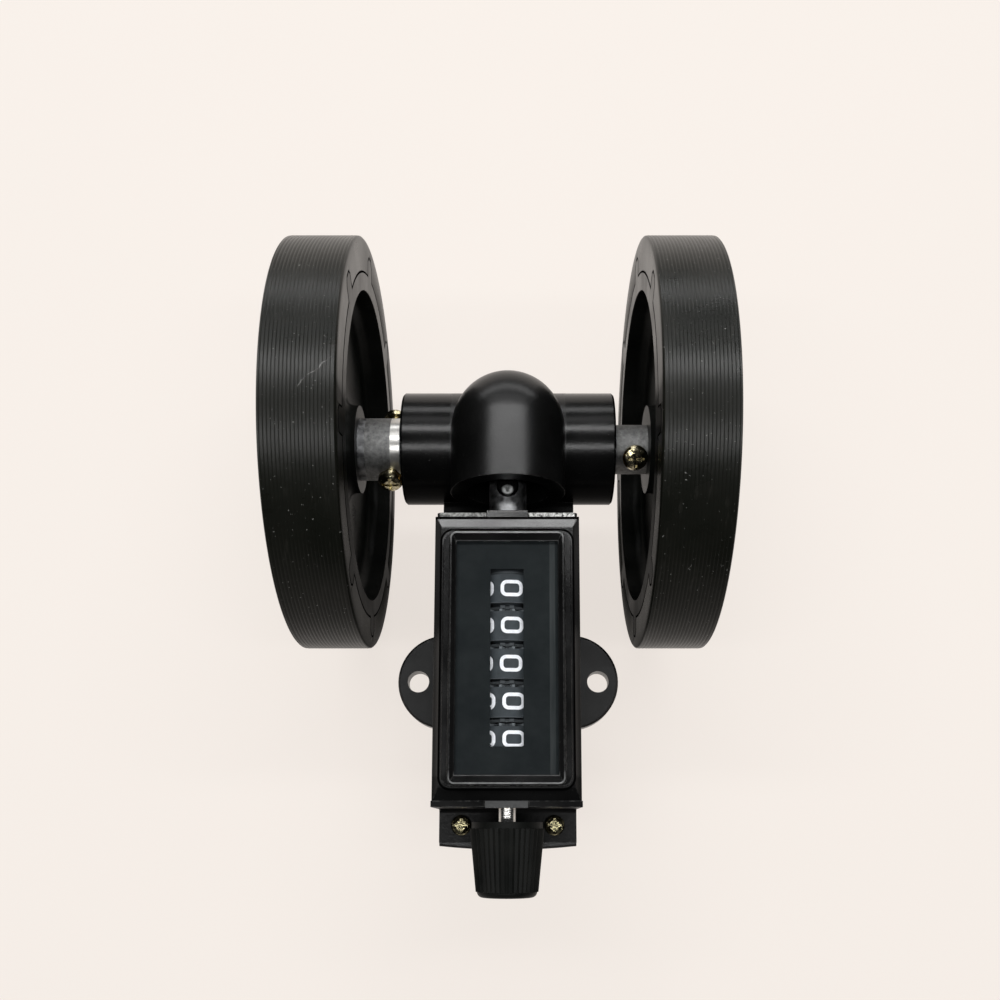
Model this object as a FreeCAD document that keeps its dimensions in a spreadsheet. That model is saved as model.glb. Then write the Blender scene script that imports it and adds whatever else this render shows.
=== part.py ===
import FreeCAD, Part
import math
import os
import re

import Sketcher

# Cable length counter: two measuring wheels on one axle, a gearbox in the middle of
# the axle, and a drum counter with a reset knob below the gearbox.
# X runs along the axle, Y from the reset knob to the gearbox, Z out of the dial.
# The origin is midway between the two flange holes, on the rear face of the flange.

os.makedirs("parts", exist_ok=True)
doc = FreeCAD.newDocument("cable_length_counter")

SIZES = (
    # Measuring wheels
    ("wheel_radius", 53.05, "tread radius, so one turn is a third of a metre"),
    ("wheel_width", 17.3, "width of the tread"),
    ("left_clearance", 9.3, "from the axle tube to the left wheel"),
    ("right_clearance", 6.5, "from the axle tube to the right wheel"),
    ("rim_depth", 12.85, "from the tread in to the dish"),
    ("tyre_depth", 8.65, "from the tread in to the hard core between the lobes"),
    ("tread_cover", 3.45, "rubber over the tips of the lobes that key the tyre"),
    ("lobe_width", 6, "width of one lobe"),
    ("lobe_count", 8, "lobes round the core"),
    ("lobe_turn", 13, "degrees from the top to the first lobe"),
    ("tyre_seam", 0.08, "gap left between core and tyre"),
    ("tread_round", 0.8, "rounding of the tread edges"),
    ("web_width", 4, "thickness of the wheel web"),
    ("web_round", 3, "rounding where the web meets hub and rim"),
    ("hub_radius", 11.5, "radius of the wheel hub"),
    ("hub_recess", 2.6, "hub face below the wheel face"),
    # Axle and what is clamped on it
    ("axle_radius", 3, "radius of the wheel axle"),
    ("axle_reach", 1, "axle past each outer hub face"),
    ("axle_up", 62.5, "from the flange holes up to the axle"),
    ("axle_level", 5, "from the rear face of the flange to the axle"),
    ("washer_width", 0.7, "thickness of the thrust washers"),
    ("washer_left_radius", 9, "radius of the left thrust washer"),
    ("washer_right_radius", 7, "radius of the right thrust washer"),
    ("sleeve_left_radius", 8.15, "radius of the left hub sleeve"),
    ("sleeve_right_radius", 6.45, "radius of the right hub sleeve"),
    ("spacer_width", 1.9, "spacer between left sleeve and left hub"),
    ("sleeve_screw_radius", 1.7, "radius of the sleeve screw shanks"),
    ("sleeve_screw_stand", 1.9, "bare shank under a sleeve screw head"),
    ("sleeve_head_radius", 3.25, "radius of the sleeve screw heads"),
    ("sleeve_head_height", 2.4, "height of the sleeve screw heads"),
    ("screw_left_inset", 2.5, "left screws from the inner end of their sleeve"),
    ("screw_right_inset", 4.6, "right screws from the inner end of their sleeve"),
    ("screw_left_turn", 68, "degrees the left screws lean from straight out"),
    ("screw_right_turn", 34, "degrees the right screws lean from straight out"),
    # Gearbox casting
    ("tube_radius", 14.6, "radius of the axle tube"),
    ("tube_length", 54.8, "length of the axle tube"),
    ("tube_bore", 12, "bore radius of the axle tube"),
    ("tube_bush_width", 5, "width of the two axle bushes"),
    ("dome_radius", 14.3, "radius of the gear dome"),
    ("dome_bore", 10.3, "bore radius of the gear dome"),
    ("dome_drop", 17, "dome mouth below the axle"),
    ("dome_head", 6, "top of the dome bore above the axle"),
    ("counter_level", 19.5, "from the rear face of the flange to the counter axis"),
    ("edge_break", 0.5, "small chamfer on cast and turned edges"),
    ("joint_bite", 0.5, "how deep an added form starts inside the form it joins"),
    # Skew gears
    ("axle_teeth", 6, "teeth on the axle gear"),
    ("shaft_teeth", 18, "teeth on the output gear"),
    ("axle_helix", 60, "helix angle of the axle gear, degrees"),
    ("axle_gear_width", 7, "width of the axle gear"),
    ("output_gear_width", 8, "width of the output gear"),
    ("skew_slack", 0.24, "play taken out of each tooth of the skew gears"),
    ("skew_top", 0.8, "height of a skew gear tooth above the pitch circle, in modules"),
    ("skew_foot", 1.05, "depth of a skew gear tooth below the pitch circle, in modules"),
    ("pressure_angle", 20, "slope of the tooth flanks, degrees"),
    ("facet_turn", 12, "largest turn between two outlines of a skew gear, degrees"),
    ("bearing_drop", 6, "output bearing below the axle"),
    ("bearing_width", 4, "width of the output bearing"),
    # Drive from the gearbox to the counter
    ("shaft_radius", 2.5, "radius of output and input shafts"),
    ("shoulder_radius", 4, "radius of the shaft shoulders"),
    ("shoulder_width", 2.5, "width of the input shaft shoulder"),
    ("shaft_head", 1, "thickness of the head on the output shaft"),
    ("input_bush_reach", 1.2, "input bush past the inner face of the upper end plate"),
    ("coupling_radius", 4.6, "radius of the coupling sleeve"),
    ("coupling_length", 12, "length of the coupling sleeve"),
    ("coupling_drop", 18, "middle of the coupling below the axle"),
    ("coupling_screw_inset", 4.8, "coupling screws from the sleeve ends"),
    ("coupling_screw_radius", 1.25, "shank radius of the coupling screws"),
    ("coupling_head_radius", 2.7, "head radius of the coupling screws"),
    ("coupling_head_height", 1.6, "head height of the coupling screws"),
    # Base and flange
    ("base_width", 34.2, "width of the base"),
    ("base_thickness", 5, "thickness of base and flange"),
    ("foot_margin", 0.9, "base past the end of the foot"),
    ("tail_bulge", 0.9, "how far the lower edge bows out in the middle"),
    ("flange_span", 56.4, "over the two ears of the flange"),
    ("ear_radius", 12.1, "radius of the ears"),
    ("hole_spacing", 46, "between the two flange holes"),
    ("hole_radius", 2.75, "radius of the flange holes"),
    # Counter frame
    ("case_top", 36.1, "upper end of the case above the flange holes"),
    ("case_length", 67, "length of the case between its end plates"),
    ("case_width", 34.2, "width of the case"),
    ("case_depth", 26.5, "case front above the base"),
    ("frame_sheet", 1, "thickness of the frame sheet"),
    ("frame_gap", 0.2, "frame sheet to cover wall"),
    ("plate_depth", 25, "end plates above the base"),
    ("top_plate_width", 33.3, "width of the upper end plate"),
    ("bottom_plate_width", 34.6, "width of the lower end plate"),
    ("bottom_sheet", 1.4, "thickness of the lower end plate"),
    ("foot_length", 8.2, "foot below the lower end plate"),
    ("bend_round", 1.2, "inner bend radius of the foot"),
    ("plate_corner", 0.6, "cut corners of the upper end plate"),
    ("foot_screw_spacing", 23.2, "between the foot screws"),
    ("foot_screw_drop", 4, "foot screws below the lower end plate"),
    ("frame_screw_spacing", 20, "between the frame screws"),
    ("frame_screw_drop", 7.4, "frame screws below the upper end plate"),
    ("small_screw_radius", 1.4, "radius of the small screw shanks"),
    ("small_head_radius", 2.5, "radius of the small screw heads"),
    ("small_head_height", 1.8, "height of the small screw heads"),
    ("small_screw_length", 4.5, "shank length of the small screws"),
    ("cross_width", 0.8, "width of the cross slots"),
    ("cross_reach", 0.66, "reach of the cross slots, as a share of the head radius"),
    ("cross_depth", 0.5, "depth of the cross slots, as a share of the head height"),
    ("head_side", 0.45, "upright side of a screw head, as a share of its height"),
    ("crown_height", 0.8, "height where the crown flattens, as a share of the head height"),
    ("crown_radius", 0.86, "radius where the crown flattens, as a share of the head radius"),
    ("crown_flat", 0.5, "radius of the flat top, as a share of the head radius"),
    # Cover, bezel, mask and lens
    ("cover_wall", 1, "wall of the cover"),
    ("shoulder_end", 3, "length of the sloped shoulders at the ends of the cover"),
    ("shoulder_drop", 1.5, "how far the end shoulders slope down"),
    ("shoulder_side", 1.6, "sloped shoulder at the sides of the cover"),
    ("tongue_width", 9.8, "width of the cover tongues"),
    ("tongue_reach", 1.6, "tongues past the cover"),
    ("tongue_gap", 0.1, "clearance beside a tongue in its notch"),
    ("bezel_centre", 2, "middle of the bezel above the flange holes"),
    ("bezel_step", 0.9, "height of the bezel outside its ridge"),
    ("bezel_corner", 2.2, "corner radius of the bezel"),
    ("bezel_round", 0.25, "rounding of the front edges of the bezel"),
    ("ledge_side", 1.5, "flat of the bezel outside its ridge at the sides"),
    ("ledge_end", 0.35, "flat of the bezel outside its ridge at the ends"),
    ("ridge_crest", 0.5, "width of the crest of the ridge"),
    ("ridge_height", 2.6, "top of the ridge above the cover"),
    ("ridge_corner", 1.7, "corner radius of the ridge"),
    ("lip_side", 1.1, "width of the slope from the ridge to the lens at the sides"),
    ("lip_end", 1.8, "width of the slope from the ridge to the lens at the ends"),
    ("lip_drop", 1, "how far the inner slope goes down"),
    ("glass_width", 23.7, "visible width of the lens"),
    ("glass_length", 54.4, "visible length of the lens"),
    ("glass_margin", 0.7, "lens edge held under the bezel"),
    ("lens_thickness", 0.8, "thickness of the lens"),
    ("mask_thickness", 0.5, "thickness of the dial mask"),
    ("cover_opening_width", 20, "width of the opening in the cover"),
    ("cover_opening_length", 49, "length of the opening in the cover"),
    ("number_width", 7.7, "width of the number window"),
    ("number_length", 41.5, "length of the number window"),
    # Number drums and transfer pinions
    ("drum_count", 5, "number drums"),
    ("drum_pitch", 9, "from drum to drum"),
    ("drum_middle", 0.6, "middle of the drum stack above the flange holes"),
    ("drum_radius", 11, "radius of a number drum"),
    ("drum_rim", 7, "width of the rim with the digits"),
    ("drum_wall", 1.2, "wall of the rim"),
    ("drum_web", 1.4, "thickness of the drum web"),
    ("drum_hub", 3.7, "hub radius of a drum"),
    ("drum_gear_width", 0.8, "width of the gear on a drum"),
    ("carry_width", 0.7, "width of the carry disc on a drum"),
    ("carry_radius", 7.7, "radius of the carry teeth"),
    ("carry_height", 1.2, "height of the carry teeth"),
    ("carry_tooth", 1.1, "width of a carry tooth"),
    ("drive_boss", 4.5, "length of the boss on the first drum that the input shaft enters"),
    ("boss_floor", 1, "where the input shaft stops above the rim of the first drum"),
    ("gear_module", 0.9, "module of drum gears and pinions"),
    ("drum_teeth", 20, "teeth of a drum gear"),
    ("pinion_teeth", 8, "teeth of a transfer pinion"),
    ("pinion_width", 1.6, "width of a transfer pinion"),
    ("pinion_turn", 225, "degrees round the drums to the pinion shaft"),
    ("spur_slack", 0.17, "play taken off each flank of the spur gears"),
    ("spur_top", 0.75, "height of a spur tooth above the pitch circle, in modules"),
    ("spur_foot", 1.4, "depth of a spur tooth below the pitch circle, in modules"),
    ("drum_gear_root", 1.25, "root of a drum gear below the pitch circle, in modules"),
    ("pinion_root", 1.2, "root of a pinion below the pitch circle, in modules"),
    ("pinion_shaft_radius", 1, "radius of the pinion shaft"),
    # Reset shaft and knob
    ("reset_radius", 2.1, "radius of the reset shaft"),
    ("reset_bush_radius", 3.6, "radius of the reset bush"),
    ("reset_bush_reach", 1, "reset bush past the inner face of the lower end plate"),
    ("stop_collar_radius", 4.1, "radius of the stop collar"),
    ("knob_floor", 4, "solid end of the knob below its bore"),
    ("knob_gap", 3.3, "bare shaft between lower end plate and knob"),
    ("knob_length", 17.3, "length of the knob"),
    ("knob_collar", 1.5, "thickness of the collar on the knob"),
    ("knob_collar_radius", 8.4, "radius of the collar on the knob"),
    ("knob_radius", 8.8, "radius of the knob at its wide end"),
    ("knob_end_radius", 7.35, "radius of the knob at its outer end"),
    ("knob_round", 1.3, "rounding of the outer end of the knob"),
    ("knob_ribs", 40, "grip ribs round the knob"),
    ("rib_depth", 0.3, "depth of the grip ribs"),
    # Fits
    ("running", 0.05, "radial clearance of a turning shaft"),
    ("seat", 0.02, "radial clearance of a fixed fit"),
    ("end_play", 0.15, "axial clearance of a turning piece"),
)
NAMES = {name for name, number, meaning in SIZES}

sheet = doc.addObject("Spreadsheet::Sheet", "Sizes")
for row, (name, number, meaning) in enumerate(SIZES, 1):
    sheet.set(f"A{row}", meaning)
    sheet.set(f"B{row}", str(number))
    sheet.setAlias(f"B{row}", name)
doc.recompute()


def bound(words):
    """An expression with its size names written the way the document reads them."""
    return re.sub(r"[a-z_]+", lambda word: "Sizes." + word[0] if word[0] in NAMES else word[0], words)


def value(words):
    """The number that an expression gives."""
    return float(sheet.evalExpression(bound(words)))


def pin(sketch, edge, spot, across, up):
    """Holds one point of a sketch edge at its distances from both sketch axes."""
    for kind, words, axis in (("DistanceX", across, -2), ("DistanceY", up, -1)):
        if words == "0":
            sketch.addConstraint(Sketcher.Constraint("PointOnObject", edge, spot, axis))
        else:
            held = Sketcher.Constraint(kind, -1, 1, edge, spot, value(words))
            number = sketch.addConstraint(held)
            sketch.setExpression(f"Constraints[{number}]", bound(words))


def outline(points, bows=None):
    """A closed loop through points given as pairs of expressions. Its edges are
    straight, but an edge whose number is in bows is an arc through that third point."""
    bows = bows or {}

    def draw(sketch):
        first = sketch.GeometryCount
        spots = [FreeCAD.Vector(value(across), value(up), 0) for across, up in points]
        ends = []
        for number, spot in enumerate(spots):
            following = spots[(number + 1) % len(spots)]
            if number in bows:
                middle = FreeCAD.Vector(value(bows[number][0]), value(bows[number][1]), 0)
                edge = Part.Arc(spot, middle, following)
            else:
                edge = Part.LineSegment(spot, following)
            sketch.addGeometry(edge)
            drawn = sketch.Geometry[first + number]
            forward = drawn.StartPoint.distanceToPoint(spot) < 1e-6
            ends.append((1, 2) if forward else (2, 1))
        for number, (across, up) in enumerate(points):
            following = (number + 1) % len(points)
            sketch.addConstraint(Sketcher.Constraint(
                "Coincident", first + number, ends[number][1], first + following, ends[following][0]))
            pin(sketch, first + number, ends[number][0], across, up)
        for number, (across, up) in bows.items():
            middle = FreeCAD.Vector(value(across), value(up), 0)
            spot = sketch.addGeometry(Part.Point(middle), True)
            sketch.addConstraint(Sketcher.Constraint("PointOnObject", spot, 1, first + number))
            pin(sketch, spot, 1, across, up)

    return draw


def disc(across, up, radius):
    """A circle at a place given by expressions."""

    def draw(sketch):
        centre = FreeCAD.Vector(value(across), value(up), 0)
        edge = sketch.addGeometry(Part.Circle(centre, FreeCAD.Vector(0, 0, 1), value(radius)))
        pin(sketch, edge, 3, across, up)
        number = sketch.addConstraint(Sketcher.Constraint("Radius", edge, value(radius)))
        sketch.setExpression(f"Constraints[{number}]", bound(radius))

    return draw


def rectangle(width, length, across="0", up="0"):
    """A rectangle about a middle point."""
    left = f"({across}) - ({width}) / 2"
    right = f"({across}) + ({width}) / 2"
    low = f"({up}) - ({length}) / 2"
    high = f"({up}) + ({length}) / 2"
    return outline([(left, low), (right, low), (right, high), (left, high)])


def cross(reach, width, lift):
    """A plus sign on the vertical axis of the sketch."""
    half = f"{width} / 2"
    quarter = [(reach, half), (half, half), (half, reach)]
    points = []
    for turn in range(4):
        signs = [("", ""), ("-", ""), ("-", "-"), ("", "-")][turn]
        corner = quarter if turn % 2 == 0 else quarter[::-1]
        points += [(f"{signs[0]}({a})", f"{lift} + {signs[1]}({b})") for a, b in corner]
    return outline(points)


class Piece:
    """One piece of the counter: a body, its place and its features in order."""

    PLANES = {"x": "YZ_Plane", "y": "XZ_Plane", "z": "XY_Plane"}

    def __init__(self, label, x="0", y="0", z="0"):
        self.body = doc.addObject("PartDesign::Body", label)
        self.body.Label = label
        self.steps = []
        for axis, words in (("x", x), ("y", y), ("z", z)):
            self.body.setExpression("Placement.Base." + axis, bound(words))

    def turned_about_x(self, degrees):
        """Turns the whole piece about the X axis."""
        self.body.Placement.Rotation = FreeCAD.Rotation(FreeCAD.Vector(1, 0, 0), value(degrees))
        self.body.setExpression("Placement.Rotation.Angle", bound(degrees))
        return self

    def origin(self, role):
        return next(item for item in self.body.Origin.OriginFeatures if item.Role == role)

    def sketch(self, axis, loops, offset):
        """A sketch square to one axis, at a distance along the sketch normal."""
        drawing = self.body.newObject("Sketcher::SketchObject", self.body.Label + "_sketch")
        drawing.AttachmentSupport = [(self.origin(self.PLANES[axis]), "")]
        drawing.MapMode = "FlatFace"
        drawing.setExpression("AttachmentOffset.Base.z", bound(offset))
        for loop in loops:
            loop(drawing)
        return drawing

    def feature(self, kind, name):
        made = self.body.newObject("PartDesign::" + kind, self.body.Label + "_" + name)
        self.steps.append(made)
        return made

    def pad(self, axis, loops, low, high):
        """Adds the loops between two places on an axis."""
        drawing = self.sketch(axis, loops, f"-({high})" if axis == "y" else low)
        made = self.feature("Pad", "pad")
        made.Profile = drawing
        made.setExpression("Length", bound(f"({high}) - ({low})"))
        return made

    def pocket(self, axis, loops, low, high):
        """Removes the loops between two places on an axis."""
        drawing = self.sketch(axis, loops, f"-({low})" if axis == "y" else high)
        made = self.feature("Pocket", "pocket")
        made.Profile = drawing
        made.setExpression("Length", bound(f"({high}) - ({low})"))
        return made

    def slope_in(self, axis, floor, low, mouth, high):
        """Removes the form between an outline at its mouth and one at its floor."""
        made = self.feature("SubtractiveLoft", "slope")
        made.Profile = self.sketch(axis, [mouth], high)
        made.Sections = [self.sketch(axis, [floor], low)]
        made.Ruled = True
        return made

    def turn(self, axis, points, up="0"):
        """Turns an outline about an axis: points are (along X, radius) for the X
        axis, and (radius, along) for the Y and Z axes. A Z axis may stand up along Y."""
        plane = "y" if axis == "z" else "z"
        drawing = self.sketch(plane, [outline(points)], f"-({up})")
        made = self.feature("Revolution", "turning")
        made.Profile = drawing
        made.ReferenceAxis = (drawing, ["H_Axis" if axis == "x" else "V_Axis"])
        made.Angle = 360
        return made

    def edges(self, wanted):
        """Names of the edges of the newest feature for which wanted is true."""
        doc.recompute()
        newest = self.steps[-1]
        found = enumerate(newest.Shape.Edges, 1)
        return newest, [f"Edge{number}" for number, edge in found if wanted(edge)]

    def chamfer(self, wanted, size):
        base, names = self.edges(wanted)
        made = self.feature("Chamfer", "chamfer")
        made.Base = (base, names)
        made.setExpression("Size", bound(size))
        return made

    def fillet(self, wanted, radius):
        base, names = self.edges(wanted)
        made = self.feature("Fillet", "fillet")
        made.Base = (base, names)
        made.setExpression("Radius", bound(radius))
        return made

    def ring(self, originals, axis, count):
        """Repeats features evenly round an axis."""
        made = self.feature("PolarPattern", "ring")
        made.Originals = originals
        made.Axis = (self.origin(axis.upper() + "_Axis"), [""])
        made.Angle = 360
        made.setExpression("Occurrences", bound(count))
        self.body.Tip = made
        return made

    def pair(self, axis, spacing):
        """Adds a second copy of the whole piece, so that one node holds both."""
        self.body.AllowCompound = True
        made = self.feature("LinearPattern", "pair")
        made.Originals = [self.steps[0]]
        made.TransformMode = "Whole shape"
        made.Direction = (self.origin(axis.upper() + "_Axis"), [""])
        made.Mode = "Extent"
        made.Occurrences = 2
        made.setExpression("Length", bound(spacing))
        self.body.Tip = made
        return made

    def half_turn(self, axis):
        """Adds a second copy of the whole piece, half a turn round an axis."""
        self.body.AllowCompound = True
        made = self.feature("PolarPattern", "half_turn")
        made.Originals = [self.steps[0]]
        made.TransformMode = "Whole shape"
        made.Axis = (self.origin(axis.upper() + "_Axis"), [""])
        made.Angle = 360
        made.Occurrences = 2
        self.body.Tip = made
        return made

    def mirror(self, axis):
        """Adds the mirror image of the whole piece across a plane square to an axis."""
        self.body.AllowCompound = True
        made = self.feature("Mirrored", "mirror")
        made.Originals = [self.steps[0]]
        made.TransformMode = "Whole shape"
        made.MirrorPlane = (self.origin(self.PLANES[axis]), [""])
        self.body.Tip = made
        return made


def along(edge, axis):
    """True for a straight edge that runs along an axis."""
    if not isinstance(edge.Curve, Part.Line):
        return False
    return abs(abs(edge.Curve.Direction.dot(axis)) - 1) < 1e-6


AXIS_X = FreeCAD.Vector(1, 0, 0)
AXIS_Y = FreeCAD.Vector(0, 1, 0)
AXIS_Z = FreeCAD.Vector(0, 0, 1)


# Places that several pieces share, as expressions of the sizes
TUBE_END = "(tube_length / 2)"
LEFT_INNER_FACE = f"(-{TUBE_END} - left_clearance)"
RIGHT_INNER_FACE = f"({TUBE_END} + right_clearance)"
RIM_OPENING = "(wheel_radius - rim_depth)"
CORE_EDGE = "(wheel_radius - tyre_depth)"
LOBE_TIP = "(wheel_radius - tread_cover)"
WASHER_OUTER = f"({TUBE_END} + end_play + washer_width)"
BASE_FRONT = "base_thickness"
CASE_BOTTOM = "(case_top - case_length)"
CASE_FRONT = "(base_thickness + case_depth)"
PLATE_FRONT = "(base_thickness + plate_depth)"
LOWER_PLATE_OUTER = f"({CASE_BOTTOM} - bottom_sheet)"
FOOT_END = f"({LOWER_PLATE_OUTER} - foot_length)"
KNOB_TOP = f"({LOWER_PLATE_OUTER} - knob_gap)"
TONGUE_TOP = f"({CASE_FRONT} - shoulder_drop)"
MOUTH_WIDTH = "(glass_width + 2 * lip_side)"
MOUTH_LENGTH = "(glass_length + 2 * lip_end)"
RIDGE_WIDTH = f"({MOUTH_WIDTH} + 2 * ridge_crest)"
RIDGE_LENGTH = f"({MOUTH_LENGTH} + 2 * ridge_crest)"
COUPLING_MIDDLE = "(axle_up - coupling_drop)"
PINION_DISTANCE = "(gear_module * (drum_teeth + pinion_teeth) / 2)"
PINION_X = f"({PINION_DISTANCE} * sin(pinion_turn * 1 deg))"
PINION_Z = f"({PINION_DISTANCE} * cos(pinion_turn * 1 deg))"


def make_wheel(side, middle):
    """A hard core with dished faces and lobes, and the rubber tyre moulded round it."""
    core = Piece("wheel_core_" + side, middle, "axle_up", "axle_level").turned_about_x("lobe_turn")
    half = "wheel_width / 2"
    hub_face = f"({half} - hub_recess)"
    bore = "axle_radius + seat"
    core.turn("x", [
        (f"-{hub_face}", bore), (hub_face, bore), (hub_face, "hub_radius"),
        ("web_width / 2", "hub_radius"), ("web_width / 2", RIM_OPENING),
        (half, RIM_OPENING), (half, CORE_EDGE), (f"-({half})", CORE_EDGE),
        (f"-({half})", RIM_OPENING), ("-web_width / 2", RIM_OPENING),
        ("-web_width / 2", "hub_radius"), (f"-{hub_face}", "hub_radius"),
    ])
    lobe = core.pad("x", [lobe_outline("0")], f"-({half})", half)
    core.ring([lobe], "x", "lobe_count")

    def inner_corner(edge):
        radius = getattr(edge.Curve, "Radius", 0)
        deep = abs(abs(edge.CenterOfMass.x) - value("web_width / 2")) < 1e-3
        return deep and radius > value("hub_radius") - 1e-3

    core.fillet(inner_corner, "web_round")

    tyre = Piece("tyre_" + side, middle, "axle_up", "axle_level").turned_about_x("lobe_turn")
    tyre.turn("x", [
        (f"-({half})", f"{CORE_EDGE} + tyre_seam"), (half, f"{CORE_EDGE} + tyre_seam"),
        (half, "wheel_radius"), (f"-({half})", "wheel_radius"),
    ])
    slot = tyre.pocket("x", [lobe_outline("tyre_seam")], f"-({half})", half)
    tyre.ring([slot], "x", "lobe_count")
    outermost = value("wheel_radius") - 1e-3
    tyre.fillet(lambda edge: getattr(edge.Curve, "Radius", 0) > outermost, "tread_round")


def lobe_outline(growth):
    """One lobe of the wheel core, or its slot in the tyre when it is grown a little."""
    side = f"(lobe_width / 2 + {growth})"
    tip = f"({LOBE_TIP} + {growth})"
    root = f"({CORE_EDGE} - joint_bite)"
    return outline([
        (root, f"-{side}"), (f"{tip} - lobe_width / 4", f"-{side}"), (tip, "-lobe_width / 4"),
        (tip, "lobe_width / 4"), (f"{tip} - lobe_width / 4", side), (root, side),
    ])


def make_axle():
    left_hub = f"({LEFT_INNER_FACE} - wheel_width + hub_recess)"
    right_hub = f"({RIGHT_INNER_FACE} + wheel_width - hub_recess)"
    axle = Piece("wheel_axle", "0", "axle_up", "axle_level")
    axle.turn("x", [
        (f"{left_hub} - axle_reach", "0"), (f"{right_hub} + axle_reach", "0"),
        (f"{right_hub} + axle_reach", "axle_radius - edge_break"),
        (f"{right_hub} + axle_reach - edge_break", "axle_radius"),
        (f"{left_hub} - axle_reach + edge_break", "axle_radius"),
        (f"{left_hub} - axle_reach", "axle_radius - edge_break"),
    ])


def ring_piece(label, axis, low, high, inner, outer, x="0", y="0", z="0"):
    """A plain turned ring between two places on its axis."""
    made = Piece(label, x, y, z)
    if axis == "x":
        made.turn("x", [(low, inner), (high, inner), (high, outer), (low, outer)])
    else:
        made.turn("y", [(inner, low), (inner, high), (outer, high), (outer, low)])
    return made


def make_sleeve(side, sign, radius, inset, lean, far_end):
    """A hub sleeve with a cross hole, and the two screws that clamp it to the axle."""
    near = f"({sign}{WASHER_OUTER})"
    low, high = (far_end, near) if sign else (near, far_end)
    hole_x = f"({near} - {inset})" if sign else f"({near} + {inset})"
    sleeve = ring_piece(
        "hub_sleeve_" + side, "x", low, high, "axle_radius + seat", radius,
        "0", "axle_up", "axle_level").turned_about_x(lean)
    hole = "sleeve_screw_radius + seat"
    sleeve.pocket("z", [disc(hole_x, "0", hole)], f"-({radius})", radius)
    screws = pan_screw(
        "sleeve_screws_" + side, "sleeve_screw_radius", "sleeve_head_radius",
        "sleeve_head_height", f"{radius} + sleeve_screw_stand",
        "axle_radius + seat", "0")
    screws.mirror("z")
    screws.body.setExpression("Placement.Base.x", bound(hole_x))
    screws.body.setExpression("Placement.Base.y", bound("axle_up"))
    screws.body.setExpression("Placement.Base.z", bound("axle_level"))
    screws.turned_about_x(lean)


def pan_screw(label, shank, head, height, under_head, tip, x="0", y="0", z="0", up="0"):
    """A cross slotted pan head screw along Z, from its tip to under its head."""
    screw = Piece(label, x, y, z)
    top = f"({under_head} + {height})"
    screw.turn("z", [
        ("0", tip), (shank, tip), (shank, under_head), (head, under_head),
        (head, f"{under_head} + {height} * head_side"),
        (f"{head} * crown_radius", f"{under_head} + {height} * crown_height"),
        (f"{head} * crown_flat", top), ("0", top),
    ], up)
    slots = cross(f"({head} * cross_reach)", "cross_width", up)
    screw.pocket("z", [slots], f"{top} - {height} * cross_depth", top)
    return screw


def ring_point(axis, degrees, radius, place):
    """A point at an angle round an axis, counted from straight out of the dial."""
    turn = math.radians(degrees)
    if axis == "x":
        return FreeCAD.Vector(place, -radius * math.sin(turn), radius * math.cos(turn))
    return FreeCAD.Vector(radius * math.sin(turn), place, radius * math.cos(turn))


def ruled_solid(rings):
    """A solid through rings of points, with a ruled face between each two edges."""
    faces = [Part.Face(Part.makePolygon(ring + ring[:1])) for ring in (rings[0], rings[-1])]
    for lower, upper in zip(rings, rings[1:]):
        for number in range(len(lower)):
            following = (number + 1) % len(lower)
            faces.append(Part.makeRuledSurface(
                Part.makeLine(lower[number], lower[following]),
                Part.makeLine(upper[number], upper[following])))
    shell = Part.Shell(faces)
    shell.sewShape()
    solid = Part.Solid(shell)
    return solid if solid.Volume > 0 else solid.reversed()


def skew_gear(label, axis, teeth, helix, width, bore, phase, hand):
    """A helical gear: ruled faces between copies of its outline, each turned a little."""
    count = int(value(teeth))
    module = value(
        "2 * (counter_level - axle_level)"
        " / (axle_teeth / cos(axle_helix * 1 deg) + shaft_teeth / sin(axle_helix * 1 deg))")
    lean = math.radians(value(helix))
    pitch_radius = module * count / 2 / math.cos(lean)
    tip = pitch_radius + value("skew_top") * module
    root = pitch_radius - value("skew_foot") * module
    slope = value("tan(pressure_angle * 1 deg)") / math.cos(lean)
    half_tooth = math.pi * pitch_radius / count / 2 - value("skew_slack") / math.cos(lean) / 2
    twist = math.degrees(hand * math.tan(lean) / pitch_radius)
    corners = []
    for radius, sign in ((root, -1), (tip, -1), (tip, 1), (root, 1)):
        reach = half_tooth - (radius - pitch_radius) * slope
        corners.append((radius, sign * math.degrees(reach / radius)))
    half_width = value(width) / 2
    steps = math.ceil(abs(twist) * 2 * half_width / value("facet_turn"))
    rings = []
    for step in range(steps + 1):
        place = half_width * (2 * step / steps - 1)
        points = []
        for tooth in range(count):
            middle = phase + 360 * tooth / count + twist * place
            points += [ring_point(axis, middle + turn, radius, place) for radius, turn in corners]
        rings.append(points)
    toothed = ruled_solid(rings)
    direction = AXIS_X if axis == "x" else AXIS_Y
    hole = Part.makeCylinder(value(bore), 3 * half_width, direction * (-1.5 * half_width), direction)
    gear = doc.addObject("Part::Feature", label)
    gear.Label = label
    gear.Shape = toothed.cut(hole)
    level = "axle_level" if axis == "x" else "counter_level"
    gear.Placement = FreeCAD.Placement(
        FreeCAD.Vector(0, value("axle_up"), value(level)), FreeCAD.Rotation())
    return gear


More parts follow.
